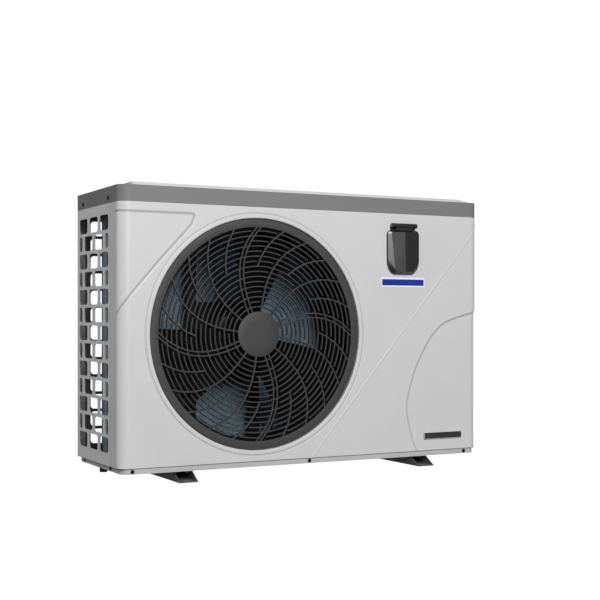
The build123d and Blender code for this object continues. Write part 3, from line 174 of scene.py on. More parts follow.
WHITE = (0.62, 0.62, 0.62)
FINISH = {
    "cabinet_white": material("cabinet_paint", WHITE, 0.42, grain=1400, bump=0.06, vary=0.008),
    "side_grey": material("side_grille_paint", WHITE, 0.45, grain=1400, bump=0.06, vary=0.01),
    "lid_dark": material("lid_paint", (0.185, 0.185, 0.185), 0.6, grain=1400, bump=0.06, vary=0.015),
    # the top panel's light grey is partly painted highlight, standing in for light caught by the top's forward
    # slope
    "top_light": material("top_paint", (0.60, 0.60, 0.60), 0.5, grain=1400, bump=0.06, vary=0.01),
    "pan_grey": material("pan_paint", (0.48, 0.48, 0.48), 0.5, grain=1200, bump=0.06, vary=0.02),
    "foot_dark": material("foot_paint", (0.15, 0.152, 0.156), 0.5, grain=1200, bump=0.1, vary=0.06),
    "screw_black": material("screw_black", (0.02, 0.02, 0.02), 0.35, metallic=0.6, vary=0.1),
    "grille_dark": material("grille_plastic", (0.04, 0.04, 0.04), 0.55, grain=1600, bump=0.1,
                            vary=0.03),
    "fan_black": material("fan_plastic", (0.004, 0.004, 0.0044), 0.75, grain=1500, bump=0.1, vary=0.08,
                          spec=0.08),
    "zinc": material("zinc", (0.50, 0.51, 0.52), 0.38, metallic=0.9, grain=300, bump=0.05, vary=0.12),
    "shaft_steel": material("shaft_steel", (0.55, 0.55, 0.56), 0.25, metallic=1.0, grain=900, vary=0.05),
    "motor_black": material("motor_paint", (0.008, 0.008, 0.008), 0.5, vary=0.08),
    "bracket_black": material("bracket_paint", (0.004, 0.004, 0.0042), 0.6, vary=0.08, spec=0.2),
    # fin coating set far lighter than the same blue on the end plates: painted light making up for light lost
    # between the fins
    "fin_blue": material("fin_coating", (0.66, 0.86, 0.98), 0.55, metallic=0.1, grain=500, bump=0.05,
                         vary=0.10),
    "copper": material("copper", (0.62, 0.26, 0.13), 0.3, metallic=1.0, grain=400, bump=0.05, vary=0.15),
    "rubber_black": material("rubber", (0.012, 0.012, 0.012), 0.8, grain=900, bump=0.2, vary=0.1),
    "compressor_black": material("compressor_paint", (0.01, 0.01, 0.01), 0.35, grain=500, bump=0.1,
                                 vary=0.1),
    "pvc_grey": material("pvc", (0.20, 0.21, 0.23), 0.4, grain=700, bump=0.05, vary=0.05),
    "union_blue": material("union_blue", (0.02, 0.07, 0.27), 0.4, grain=900, bump=0.08, vary=0.06),
    "union_red": material("union_red", (0.33, 0.025, 0.02), 0.4, grain=900, bump=0.08, vary=0.06),
    "brass_valve": material("brass", (0.60, 0.42, 0.17), 0.3, metallic=1.0, grain=500, vary=0.1),
    "board_green": material("board_lacquer", (0.01, 0.12, 0.05), 0.3, grain=900, vary=0.1),
    "component_dark": material("component", (0.02, 0.02, 0.025), 0.4, vary=0.1),
    "black_plastic": material("black_plastic", (0.014, 0.014, 0.015), 0.5, grain=1500, bump=0.15,
                              vary=0.06),
    "display_grey": material("display_face", (0.07, 0.07, 0.075), 0.45, grain=1500, bump=0.1, vary=0.05),
    "window_dark": material("display_window", (0.004, 0.007, 0.009), 0.08, coat=1.0, vary=0.05,
                            bump=0.0),
    "button_grey": material("button", (0.38, 0.39, 0.40), 0.5, grain=1500, bump=0.1, vary=0.04),
    "cover_gloss": material("cover_gloss", (0.018, 0.018, 0.019), 0.33, spec=0.8, grain=1500, bump=0.02,
                            vary=0.04),
    "plate_blue": material("plate_blue", (0.006, 0.028, 0.30), 0.4, grain=1500, bump=0.04, vary=0.04),
    "plate_dark": material("plate_dark", (0.028, 0.028, 0.029), 0.45, grain=1500, bump=0.05, vary=0.05),
}
END_BLUE = material("coil_end_paint", (0.29, 0.39, 0.47), 0.55, grain=500, bump=0.05, vary=0.06)
# dark grey painted on the grille panels' inner faces and hole walls: painted shade of the cabinet's inside
INNER_SHADE_GREY = (0.17, 0.17, 0.17)
# the left grille panel is the same white paint, set lighter than WHITE: painted light on the left side
LEFT_PAINT = material("left_grille_paint", (0.68, 0.68, 0.68), 0.45, grain=1400, bump=0.06, vary=0.01,
                      inner=(0, 1, INNER_SHADE_GREY), walls=0.35)
REAR_PAINT = material("rear_grille_paint", WHITE, 0.45, grain=1400, bump=0.06, vary=0.01,
                      inner=(1, -1, INNER_SHADE_GREY), walls=0.5)
# line=True: this paint carries the painted shade of the pressed lines
SKIN_PAINT = material("front_paint", WHITE, 0.42, grain=1400, bump=0.06, vary=0.008, line=True)
OFFWHITE = material("plate_border", (0.86, 0.85, 0.83), 0.5, grain=1500, bump=0.04, vary=0.03)


# ------------------------------------------------------------------ carried CAD nodes
SHARPEST_SMOOTH = 32.0                   # degrees; edges that turn further get a bevel
WELD = 0.01 * MM


def carry(node, width, segments):
    """Keeps a CAD node, with its edges broken by a bevel width millimetres wide."""
    o = NODES[node]
    o.modifiers.new("weld", "WELD").merge_threshold = WELD
    bevel = o.modifiers.new("bevel", "BEVEL")
    bevel.width = width * MM
    bevel.segments = segments
    bevel.limit_method = "ANGLE"
    bevel.angle_limit = math.radians(SHARPEST_SMOOTH)
    bevel.harden_normals = True
    bevel.use_clamp_overlap = True
    for face in o.data.polygons:
        face.use_smooth = True
    o.modifiers.new("normals", "WEIGHTED_NORMAL").keep_sharp = True


slots = {s["node"]: s["material_slot"] for s in frame["record"]["subparts"]}
for node, o in NODES.items():
    o.data.materials.clear()
    o.data.materials.append(FINISH[slots[node]])
for node, mat in (("left_grille_panel", LEFT_PAINT), ("rear_grille_panel", REAR_PAINT),
                  ("evaporator_end_plates", END_BLUE)):
    NODES[node].data.materials[0] = mat

PLAIN_BEVEL = (0.3, 1)                   # width in millimetres and segments
BEVEL = {"top_cover": (1.6, 3), "top_panel": (1.2, 3), "base_pan": (0.4, 2), "foot_left": (0.5, 2),
         "foot_right": (0.5, 2), "left_grille_panel": (0.7, 2), "rear_grille_panel": (0.7, 2),
         "right_side_panel": (0.4, 2), "rear_service_panel": (0.4, 2), "controller_base": (0.4, 2),
         "side_handle": (0.8, 3), "fan_blade": (0.6, 2), "fan_orifice": (0.5, 2),
         "motor_bracket": (0.4, 2)}
REPLACED = {"front_panel", "fan_grille", "evaporator_fins", "name_plate_upper", "name_plate_lower",
            "controller_cover"}
for node in NODES:
    if node not in REPLACED:
        carry(node, *BEVEL.get(node, PLAIN_BEVEL))


# ------------------------------------------------------------------ mesh helpers
def new_object(name, verts, faces, mat, body, normals=None, smooth=True):
    me = bpy.data.meshes.new(name)
    me.from_pydata([tuple(v) for v in verts], [], [tuple(f) for f in faces])
    me.validate()
    me.update()
    for mm in (mat if isinstance(mat, (list, tuple)) else [mat]):
        me.materials.append(mm)
    if smooth:
        me.polygons.foreach_set("use_smooth", [True] * len(me.polygons))
    if normals is not None:
        me.normals_split_custom_set_from_vertices([tuple(n) for n in normals])
    o = bpy.data.objects.new(name, me)
    scene.collection.objects.link(o)
    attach(o, body)
    return o


def face_outward(o):
    """Turns every face of a closed mesh outward."""
    bm = bmesh.new()
    bm.from_mesh(o.data)
    bmesh.ops.recalc_face_normals(bm, faces=bm.faces)
    bm.to_mesh(o.data)
    bm.free()


def unit(v):
    return v / np.maximum(np.linalg.norm(v, axis=-1, keepdims=True), 1e-12)


# ------------------------------------------------------------------ front panel
# Drawn flat: s runs from the left seam, round the left corner, across the front and
# round the right corner; z is the height. Both are in millimetres.
SIDE_RUN = Y_SEAM - YF - R_CORNER
ARC = R_CORNER * math.pi / 2
S1 = SIDE_RUN
S2 = S1 + ARC
S3 = S2 + W - 2 * R_CORNER
S4 = S3 + ARC
S5 = S4 + SIDE_RUN
FRONT_S0 = S2 - R_CORNER                 # s of the sharp corner XL on the front plane


def to_s(t):
    return FRONT_S0 + t


def wrap(s, z, out):
    """Point and outward normal for flat coordinates, lifted by out."""
    s = np.asarray(s, float)
    x = np.empty_like(s)
    y = np.empty_like(s)
    nx = np.empty_like(s)
    ny = np.empty_like(s)
    a = s < S1
    x[a], y[a], nx[a], ny[a] = XL, Y_SEAM - s[a], -1, 0
    a = (s >= S1) & (s < S2)
    th = (s[a] - S1) / R_CORNER
    nx[a], ny[a] = -np.cos(th), -np.sin(th)
    x[a], y[a] = XL + R_CORNER + nx[a] * R_CORNER, YF + R_CORNER + ny[a] * R_CORNER
    a = (s >= S2) & (s <= S3)
    x[a], y[a], nx[a], ny[a] = XL + R_CORNER + s[a] - S2, YF, 0, -1
    a = (s > S3) & (s <= S4)
    th = (s[a] - S3) / R_CORNER
    nx[a], ny[a] = np.sin(th), -np.cos(th)
    x[a], y[a] = -XL - R_CORNER + nx[a] * R_CORNER, YF + R_CORNER + ny[a] * R_CORNER
    a = s > S4
    x[a], y[a], nx[a], ny[a] = -XL, YF + R_CORNER + s[a] - S4, 1, 0
    p = np.stack([x + nx * out, y + ny * out, z], 1)
    return p, np.stack([nx, ny, np.zeros_like(nx)], 1)


def path_round(points, radius, step=4.0):
    """Polyline with its inner corners rounded, evenly sampled."""
    pts = [np.array(p, float) for p in points]
    out = [pts[0]]
    for a, b, c in zip(pts, pts[1:], pts[2:]):
        u, v = unit(a - b), unit(c - b)
        half = math.acos(max(-1, min(1, float(u @ v)))) / 2
        t = min(radius / math.tan(half), 0.45 * np.linalg.norm(a - b), 0.45 * np.linalg.norm(c - b))
        for k in range(7):
            f = k / 6
            out.append((1 - f) ** 2 * (b + u * t) + 2 * f * (1 - f) * b + f * f * (b + v * t))
    out.append(pts[-1])
    res = [out[0]]
    for a, b in zip(out, out[1:]):
        n = max(1, int(np.linalg.norm(b - a) / step))
        for k in range(1, n + 1):
            res.append(a + (b - a) * k / n)
    return np.array(res)


def dist_to(path, p):
    """Signed distance (left of the path positive) from points to a polyline."""
    best = np.full(len(p), 1e9)
    sign = np.ones(len(p))
    for a, b in zip(path, path[1:]):
        ab = b - a
        t = np.clip(((p - a) @ ab) / max(ab @ ab, 1e-12), 0, 1)
        q = p - (a + t[:, None] * ab)
        d = np.linalg.norm(q, axis=1)
        m = d < best - 1e-9
        best[m] = d[m]
        sign[m] = np.sign(ab[0] * q[m, 1] - ab[1] * q[m, 0])
    return best * sign


def flat(t, z):
    return (to_s(t), ZP + z)


# Points are (distance from the left edge, height above the panel's foot). A line that
# runs off the face ends a little past its edge.
FIELD_CORNER, LONG_CORNER = 14.0, 4.0
field_path = path_round([flat(-14, 553), flat(177.5, 553), flat(166.5, 528.5), flat(92.5, 449.7),
                         flat(-10, 333)], FIELD_CORNER)
long_path = path_round([flat(952, 570), flat(924.7, 533.5), flat(467.5, 0.3), flat(455, -14)], LONG_CORNER)


def path_smooth(points, step=4.0):
    """Curve that runs evenly through all its points."""
    p = np.array([points[0]] + list(points) + [points[-1]], float)
    out = []
    for i in range(1, len(p) - 2):
        n = max(2, int(np.linalg.norm(p[i + 1] - p[i]) / step))
        for k in range(n):
            f = k / n
            out.append(0.5 * (2 * p[i] + (p[i + 1] - p[i - 1]) * f
                              + (2 * p[i - 1] - 5 * p[i] + 4 * p[i + 1] - p[i + 2]) * f**2
                              + (3 * p[i] - p[i - 1] - 3 * p[i + 1] + p[i + 2]) * f**3))
    return np.array(out + [p[-1]])


arc_path = path_smooth([flat(975, 346), flat(924.7, 340.3), flat(826.2, 306.6), flat(761.5, 221.7),
                        flat(727.4, 122.3), flat(735.4, 52.5), flat(754.8, -1.1), flat(772, -40)])


def smooth(x):
    x = np.clip(x, 0, 1)
    return x * x * (3 - 2 * x)


def groove(d, half, depth):
    """Round-bottomed groove, half wide each side of its line."""
    return -depth * 0.5 * (1 + np.cos(np.pi * np.clip(np.abs(d) / half, 0, 1)))


FIELD_HALF, FIELD_DEEP = 4.8, 1.3        # groove round the upper left field
RING_LINE, RING_HALF, RING_DEEP = 273.4, 3.2, 0.8
BEAD_HALF, BEAD_HIGH = 3.2, 0.8          # the long raised bead
STEP_RUN, STEP_DEEP = 5.5, 3.0           # step down at the lower right arc
COLLAR_R, COLLAR_ROLL = 262.5, 3.0       # round opening and its rolled edge
EDGE_ROLL = 1.2                          # rolled top and bottom edges
SHEET = 1.5
LEDGE_R, LEDGE_DEEP = 246.0, 9.0         # ledge that the grille's rim rests on
FLANGE_DEEP = 12.0
cover_lo, cover_hi = box_mm("controller_cover")
WINDOW_S = to_s((cover_lo[0] + cover_hi[0]) / 2 - XL)
WINDOW_HALF, WINDOW_LOW, WINDOW_TOP = 37.0, ZP + 439.0, ZP + 526.0


def rolled(inside, radius, share):
    """Drop of a rolled edge; share below 1 keeps its last bit from turning square."""
    k = np.clip(inside / radius, 0, 1)
    return -radius * (1 - np.sqrt(1 - k**2 * share))


def relief(s, z):
    """Height of the pressed lines above the panel's face, in millimetres."""
    p = np.stack([s, z], 1)
    h = np.zeros(len(p))
    h += groove(dist_to(field_path, p), FIELD_HALF, FIELD_DEEP)
    h -= groove(dist_to(long_path, p), BEAD_HALF, BEAD_HIGH)
    h -= STEP_DEEP * smooth(dist_to(arc_path, p) / STEP_RUN)
    r = np.hypot(s - to_s(FAN_T), z - FAN_Z)
    h += groove(r - RING_LINE, RING_HALF, RING_DEEP)
    h += rolled(COLLAR_R + COLLAR_ROLL - r, COLLAR_ROLL, 0.999)
    h += rolled(EDGE_ROLL - np.minimum(z - ZP, ZL - z), EDGE_ROLL, 0.96)
    return h


def painted_groove_shade(s, z):
    """Painted shade in the pressed lines, 0 to 1: how far the grooves, the foot of the step and the dark side of
    the bead are darkened, the ring more towards its bottom.
    """
    p = np.stack([s, z], 1)
    r = np.hypot(s - to_s(FAN_T), z - FAN_Z)
    # the ring's painted shade grows towards its bottom
    low = 0.5 - 0.5 * (z - FAN_Z) / np.maximum(r, 1.0)
    v = -0.36 * groove(dist_to(field_path, p), FIELD_HALF, 1.0)
    v = np.maximum(v, -(0.16 + 0.16 * low) * groove(r - RING_LINE, RING_HALF, 1.0))
    v = np.maximum(v, -0.22 * groove(dist_to(arc_path, p) - 0.8 * STEP_RUN, 0.8 * STEP_RUN, 1.0))
    return np.maximum(v, -0.14 * groove(dist_to(long_path, p) + 1.2, 2.2, 1.0))


def beside(path, d):
    """The path moved sideways by d."""
    t = unit(np.gradient(path, axis=0))
    return path + np.stack([-t[:, 1], t[:, 0]], 1) * d


def on_panel(path, margin=0.5):
    """The stretches of a path that lie on the panel."""
    s, z = path[:, 0], path[:, 1]
    keep = (s > margin) & (s < S5 - margin) & (z > ZP + margin) & (z < ZL - margin)
    runs, run = [], []
    for p, k in zip(path, keep):
        if k:
            run.append(p)
        elif run:
            runs.append(run)
            run = []
    if run:
        runs.append(run)
    return [np.array(r) for r in runs if len(r) > 1]


def panel_lines(centre):
    """Points and edges that the panel's triangles have to follow."""
    points, edges = [], []

    def add_line(path, closed=False):
        base, n = len(points), len(path)
        points.extend(tuple(p) for p in path)
        edges.extend((base + i, base + i + 1) for i in range(n - 1))
        if closed:
            edges.append((base + n - 1, base))

    for path, offsets in ((field_path, np.linspace(-1, 1, 9) * FIELD_HALF),
                          (long_path, np.linspace(-1, 1, 9) * BEAD_HALF),
                          (arc_path, np.linspace(-0.1, 1.7, 15) * STEP_RUN)):
        for d in offsets:
            for run in on_panel(beside(path, d)):
                add_line(run)
    around = np.linspace(0, 2 * math.pi, 361)[:-1]
    circle = np.stack([np.cos(around), np.sin(around)], 1)
    radii = [COLLAR_R + step for step in (0, 0.25, 0.7, 1.4, 2.2, COLLAR_ROLL)]
    radii += list(RING_LINE + np.linspace(-1, 1, 9) * RING_HALF)
    radii += [COLLAR_R + 6, RING_LINE + 6]
    for r in radii:
        add_line(centre + circle * r, closed=True)
    for s in [*np.linspace(S1, S2, 13), *np.linspace(S3, S4, 13), S1 / 2, S5 - S1 / 2]:
        add_line(np.stack([np.full(24, s), np.linspace(ZP + 2, ZL - 2, 24)], 1))
    for z in (ZP + 0.3, ZP + 0.7, ZP + EDGE_ROLL, ZL - 0.3, ZL - 0.7, ZL - EDGE_ROLL):
        add_line(np.stack([np.linspace(0.6, S5 - 0.6, 150), np.full(150, z)], 1))
    across, up = np.meshgrid(np.arange(S2 + 15, S3, 22.0), np.arange(ZP + 14, ZL - 5, 22.0))
    plain = np.stack([across.ravel(), up.ravel()], 1)
    points.extend(tuple(p) for p in plain[np.hypot(*(plain - centre).T) > RING_LINE + 12.6])
    left, right = WINDOW_S - WINDOW_HALF, WINDOW_S + WINDOW_HALF
    add_line([(left, WINDOW_LOW), (right, WINDOW_LOW), (right, WINDOW_TOP), (left, WINDOW_TOP)],
             closed=True)
    border = [(s, ZP) for s in np.linspace(0, S5, 200)]
    border += [(S5, z) for z in np.linspace(ZP, ZL, 60)[1:]]
    border += [(s, ZL) for s in np.linspace(S5, 0, 200)[1:]]
    border += [(0, z) for z in np.linspace(ZL, ZP, 60)[1:-1]]
    add_line(border, closed=True)
    return points, edges


def panel_triangles():
    """Flat vertices and triangles of the panel, without its two openings."""
    centre = np.array([to_s(FAN_T), FAN_Z])
    points, edges = panel_lines(centre)
    co, _, faces, *_ = delaunay_2d_cdt([Vector(p) for p in points], edges, [], 0, 0.02)
    co = np.array([tuple(c) for c in co])
    tri = np.array([f for f in faces if len(f) == 3])
    mid = co[tri].mean(1)
    s, z = mid[:, 0], mid[:, 1]
    keep = np.hypot(*(mid - centre).T) > COLLAR_R - 0.01
    keep &= ~((np.abs(s - WINDOW_S) < WINDOW_HALF) & (z > WINDOW_LOW) & (z < WINDOW_TOP))
    keep &= (s > 0) & (s < S5) & (z > ZP) & (z < ZL)
    tri = tri[keep]
    a, b, c = (co[tri[:, i]] for i in range(3))
    area = (b[:, 0] - a[:, 0]) * (c[:, 1] - a[:, 1]) - (b[:, 1] - a[:, 1]) * (c[:, 0] - a[:, 0])
    tri[area < 0] = tri[area < 0][:, ::-1]
    used = np.unique(tri)
    renumber = -np.ones(len(co), int)
    renumber[used] = np.arange(len(used))
    return co[used], renumber[tri]


def build_skin():
    """The sheet itself, with its pressed lines and both openings."""
    co, tri = panel_triangles()
    s, z = co[:, 0], co[:, 1]
    h = relief(s, z)
    e = 0.12                              # distance over which the slope is taken
    slope_s = (relief(s + e, z) - relief(s - e, z)) / (2 * e)
    slope_z = (relief(s, z + e) - relief(s, z - e)) / (2 * e)
    p, out = wrap(s, z, h)
    tangent = np.stack([-out[:, 1], out[:, 0], np.zeros(len(out))], 1)
    normal = unit(out - tangent * slope_s[:, None] - np.array([0, 0, 1.0]) * slope_z[:, None])
    back, _ = wrap(s, z, h - SHEET)
    n = len(co)
    faces = [tuple(f) for f in tri] + [tuple(f[::-1] + n) for f in tri]
    sides = {(f[i], f[(i + 1) % 3]) for f in tri for i in range(3)}
    rim_v, rim_n = [], []
    for a, b in ((f[i], f[(i + 1) % 3]) for f in tri for i in range(3)):
        if (b, a) in sides:
            continue
        quad = [p[b], p[a], back[a], back[b]]
        base = 2 * n + len(rim_v)
        rim_v += quad
        rim_n += [unit(np.cross(quad[1] - quad[0], quad[3] - quad[0])[None])[0]] * 4
        faces.append((base, base + 1, base + 2, base + 3))
    verts = np.concatenate([p, back, np.array(rim_v)]) * MM
    normals = np.concatenate([normal, -normal, np.array(rim_n)])
    o = new_object("front_panel_skin", verts, faces, SKIN_PAINT, "cabinet", normals)
    # painted shade of the pressed lines, kept on the outer face's points
    dark = np.zeros(len(verts), np.float32)
    dark[:n] = painted_groove_shade(s, z)
    o.data.attributes.new("pressed", "FLOAT", "POINT").data.foreach_set("value", dark)
    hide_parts("front_panel")


def build_collar():
    """Collar and ledge behind the round opening."""
    front, behind = COLLAR_ROLL - 0.4, LEDGE_DEEP + SHEET
    profile = [(COLLAR_R, front), (COLLAR_R, LEDGE_DEEP), (LEDGE_R, LEDGE_DEEP), (LEDGE_R, behind),
               (COLLAR_R + SHEET, behind), (COLLAR_R + SHEET, front)]
    around = np.linspace(0, 2 * math.pi, 361)[:-1]
    verts = [(FAN_X + r * math.cos(th), YF + y, FAN_Z + r * math.sin(th))
             for th in around for r, y in profile]
    m = len(profile)
    faces = []
    for i in range(360):
        j = (i + 1) % 360
        faces += [(i * m + k, i * m + k + 1, j * m + k + 1, j * m + k) for k in range(m - 1)]
    new_object("front_panel_collar", np.array(verts) * MM, faces, FINISH["cabinet_white"], "cabinet",
               smooth=False)


def build_flanges():
    """The panel's turned-in edges at its top and bottom."""
    verts, faces = [], []
    ss = np.concatenate([[0], np.linspace(S1, S2, 13), np.linspace(S3, S4, 13), [S5]])
    for z0, z1 in ((ZP, ZP + SHEET), (ZL - SHEET, ZL)):
        outer, _ = wrap(ss, np.zeros(len(ss)), np.full(len(ss), -1.4))
        inner, _ = wrap(ss, np.zeros(len(ss)), np.full(len(ss), -FLANGE_DEEP))
        base = len(verts)
        for a, c in zip(outer, inner):
            verts += [(a[0], a[1], z0), (c[0], c[1], z0), (c[0], c[1], z1), (a[0], a[1], z1)]
        for q in range(base, base + 4 * (len(ss) - 1), 4):
            faces += [(q, q + 1, q + 5, q + 4), (q + 1, q + 2, q + 6, q + 5), (q + 2, q + 3, q + 7, q + 6)]
    new_object("front_panel_flanges", np.array(verts) * MM, faces, FINISH["cabinet_white"], "cabinet",
               smooth=False)


build_skin()
build_collar()
build_flanges()

# ------------------------------------------------------------------ fan grille
grille_lo, grille_hi = box_mm("fan_grille")
G0 = grille_lo[1]                         # front of the grille
RING_OUT = grille_hi[0] - FAN_X           # outside of its rim
RING_IN, HUB_R = 242.4, 51.6
RINGS, RING_1, RING_STEP = 16, 62.4, 11.47
RING_W, RIB_W = 3.0, 3.5
RIB_FIRST = 23.0                          # angle where the first rib leaves the hub
MID_R, BOW_MID, BOW_END = 153.6, 6.9, 23.3  # how far a rib has swept at mid_r and at the rim
PAIR, FREE_GAP = 5.0, 7.0                 # half gap of a double rib, gap before a free wire end


def lean(r):
    """Degrees that a rib has swept back at radius r."""
    u = (r - HUB_R) / (RING_IN - HUB_R)
    m = (MID_R - HUB_R) / (RING_IN - HUB_R)
    b = (BOW_MID - BOW_END * m) / (m * m - m)
    return b * u * u + (BOW_END - b) * u


class Strips:
    """Collects wires with a chamfered section into one mesh."""

    def __init__(self):
        self.v, self.f = [], []

    def add(self, pts, width, y0, y1, soft, closed=False):
        pts = np.array(pts, float)
        t = unit(np.gradient(pts, axis=0))
        if closed:
            t = unit(np.roll(pts, -1, 0) - np.roll(pts, 1, 0))
        n = np.stack([-t[:, 1], t[:, 0]], 1)
        h = width / 2
        prof = [(-h, y1), (-h, y0 + soft), (-h + soft, y0), (h - soft, y0), (h, y0 + soft), (h, y1)]
        base = len(self.v)
        m = len(prof)
        for p, q in zip(pts, n):
            for off, y in prof:
                self.v.append((FAN_X + p[0] + q[0] * off, y, FAN_Z + p[1] + q[1] * off))
        cnt = len(pts)
        for i in range(cnt if closed else cnt - 1):
            j = (i + 1) % cnt
            for k in range(m):
                a, b = base + i * m + k, base + i * m + (k + 1) % m
                c, d = base + j * m + (k + 1) % m, base + j * m + k
                self.f.append((a, d, c, b))
        if not closed:
            self.f.append(tuple(base + k for k in range(m)))
            self.f.append(tuple(base + (cnt - 1) * m + k for k in reversed(range(m))))


def arc_points(r, a0, a1, step=2.0):
    n = max(2, int(abs(a1 - a0) / step) + 1)
    th = np.radians(np.linspace(a0, a1, n))
    return np.stack([np.cos(th) * r, np.sin(th) * r], 1)


def add_rib(g, angle, r0, count, shift=0.0):
    """One swept rib from radius r0 to the rim, shifted sideways by shift."""
    rr = np.linspace(r0, RING_IN + 2, count)
    th = np.radians([angle - lean(min(r, RING_IN)) + math.degrees(math.asin(shift / r)) for r in rr])
    g.add(np.stack([rr * np.cos(th), rr * np.sin(th)], 1), RIB_W, G0 - 0.3, G0 + 6.0, 0.9)


def add_ring(g, k):
    """Ring k from the hub: every second one is broken after each rib."""
    r = RING_1 + k * RING_STEP
    if k % 2 == 0:
        g.add(arc_points(r, 0, 360)[:-1], RING_W, G0, G0 + 5.0, 0.8, closed=True)
        return
    ribs = 24 if k > 8 else 12
    pair = math.degrees(PAIR / r)
    for i in range(ribs):
        start = RIB_FIRST + 360 / ribs * i - lean(r)
        first = start + math.degrees(FREE_GAP / r) + (pair if i % (ribs // 4) == 0 else 0)
        last = start + 360 / ribs - (pair if (i + 1) % (ribs // 4) == 0 else 0)
        g.add(arc_points(r, first, last), RING_W, G0, G0 + 5.0, 0.8)


def add_turned(g, profile, steps, closed):
    """A profile of (radius, depth) turned round the fan's axis."""
    base, m = len(g.v), len(profile)
    for th in np.linspace(0, 2 * math.pi, steps + 1)[:-1]:
        for r, y in profile:
            g.v.append((FAN_X + r * math.cos(th), G0 + y, FAN_Z + r * math.sin(th)))
    for i in range(steps):
        a, b = base + i * m, base + (i + 1) % steps * m
        for k in range(m if closed else m - 1):
            g.f.append((a + k, b + k, b + (k + 1) % m, a + (k + 1) % m))
    if not closed:
        g.f.append(tuple(base + i * m + m - 1 for i in range(steps)))
        g.f.append(tuple(base + i * m for i in reversed(range(steps))))


def build_grille():
    g = Strips()
    for k in range(12):
        angle = RIB_FIRST + 30 * k
        for shift in (-PAIR, PAIR) if k % 3 == 0 else (0.0,):
            add_rib(g, angle, HUB_R - 3, 40, shift)
        add_rib(g, angle + 15, RING_1 + 8 * RING_STEP, 26)
    for k in range(RINGS):
        add_ring(g, k)
    r0, r1 = RING_IN, RING_OUT
    add_turned(g, [(r0, 5.0), (r0, 1.0), (r0 + 0.8, 0.2), (r0 + 2.0, 0.0),
                   (r1 - 2.0, 0.0), (r1 - 0.8, 0.2), (r1, 1.0), (r1, 5.0)], 360, closed=True)
    add_turned(g, [(HUB_R, 5.0), (HUB_R, 0.6), (HUB_R - 0.5, 0.1), (HUB_R - 1.5, -0.2),
                   (HUB_R - 20, -0.6)], 180, closed=False)
    o = new_object("fan_grille_moulding", np.array(g.v) * MM, g.f, FINISH["grille_dark"],
                   "cabinet")
    face_outward(o)
    o.data.set_sharp_from_angle(angle=math.radians(35))
    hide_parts("fan_grille")


build_grille()


# ------------------------------------------------------------------ coil fins
FIN_STEP, FIN_THICK, FIN_WAVE, FIN_FOLDS = 0.0022, 0.00022, 0.0004, 8


def build_fins():
    """Thin corrugated plates, standing across the coil's tubes."""
    lo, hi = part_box("evaporator_fins")
    count = int((hi[0] - lo[0]) / FIN_STEP)
    verts, faces = [], []
    for i in range(count + 1):
        x = lo[0] + FIN_THICK + (hi[0] - lo[0] - 2 * FIN_THICK) * i / count
        base = len(verts)
        for k in range(FIN_FOLDS + 1):
            y = lo[1] + (hi[1] - lo[1]) * k / FIN_FOLDS
            wave = FIN_WAVE * (1 if k % 2 else -1) if 0 < k < FIN_FOLDS else 0.0
            for side in (-FIN_THICK / 2, FIN_THICK / 2):
                for z in (lo[2], hi[2]):
                    verts.append((min(max(x + wave + side, lo[0]), hi[0]), y, z))
        for a in range(base, base + 4 * FIN_FOLDS, 4):
            faces += [(a, a + 1, a + 5, a + 4), (a + 2, a + 6, a + 7, a + 3), (a + 1, a + 3, a + 7, a + 5),
                      (a, a + 4, a + 6, a + 2)]
        last = base + 4 * FIN_FOLDS
        faces += [(base, base + 2, base + 3, base + 1), (last, last + 1, last + 3, last + 2)]
    o = new_object("evaporator_fin_stack", verts, faces, FINISH["fin_blue"], "cabinet",
                   smooth=False)
    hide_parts("evaporator_fins")


build_fins()


# ------------------------------------------------------------------ bare plates
def build_plate(node, name, border, above, mats, corner):
    """Plate with a raised rim: border wide at its sides, and above times that over and under."""
    lo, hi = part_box(node)
    bevel, sunk = 0.0002, 0.00015
    inner = max(corner - border, 0.0004)
    loops = [(0, corner, hi[1]), (0, corner, lo[1] + bevel), (bevel, corner, lo[1]),
             (border - bevel, inner, lo[1]), (border, inner, lo[1] + sunk),
             (border + bevel, inner, lo[1] + sunk)]
    verts, faces, slot_of = [], [], []
    for inset, r, y in loops:
        x0, x1 = lo[0] + inset + r, hi[0] - inset - r
        z0, z1 = lo[2] + inset * above + r, hi[2] - inset * above - r
        for cx, cz, first in ((x1, z1, 0), (x0, z1, 90), (x0, z0, 180), (x1, z0, 270)):
            for k in range(7):
                th = math.radians(first + 15 * k)
                verts.append((cx + r * math.cos(th), y, cz + r * math.sin(th)))
    n = 28
    for k in range(len(loops) - 1):
        for i in range(n):
            j = (i + 1) % n
            faces.append((k * n + i, (k + 1) * n + i, (k + 1) * n + j, k * n + j))
            slot_of.append(0 if k < 4 else 1)
    faces.append(tuple((len(loops) - 1) * n + i for i in reversed(range(n))))
    slot_of.append(1)
    o = new_object(name, verts, faces, mats, "cabinet", smooth=False)
    o.data.polygons.foreach_set("material_index", slot_of)
    face_outward(o)
    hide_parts(node)


build_plate("name_plate_upper", "upper_plate", 0.0026, 1.55, [OFFWHITE, FINISH["plate_blue"]], 0.002)
build_plate("name_plate_lower", "lower_plate", 0.0006, 1.0, [OFFWHITE, FINISH["plate_dark"]], 0.0015)

# ------------------------------------------------------------------ the controller's cover
COVER_X = (cover_lo[0] + cover_hi[0]) / 2
COVER_HALF = (cover_hi[0] - cover_lo[0]) / 2
COVER_LO, COVER_HI = cover_lo[2], cover_lo[2] + 105.5
COVER_Y = YF - 2.5                        # the cover's open side, just clear of its frame
COVER_WALL = 2.2
RIDGE_HALF = 0.8                          # half width of the softened ridge
_, HINGE_Y, HINGE_Z = joint_mm("controller_cover_hinge")
KNUCKLE_R, KNUCKLE_HALF = 5.7, 24.0


def bezier(a, b, c, d, n):
    f = np.linspace(0, 1, n)[:, None]
    a, b, c, d = (np.array(q, float) for q in (a, b, c, d))
    return a * (1 - f)**3 + 3 * b * f * (1 - f)**2 + 3 * c * f * f * (1 - f) + d * f**3


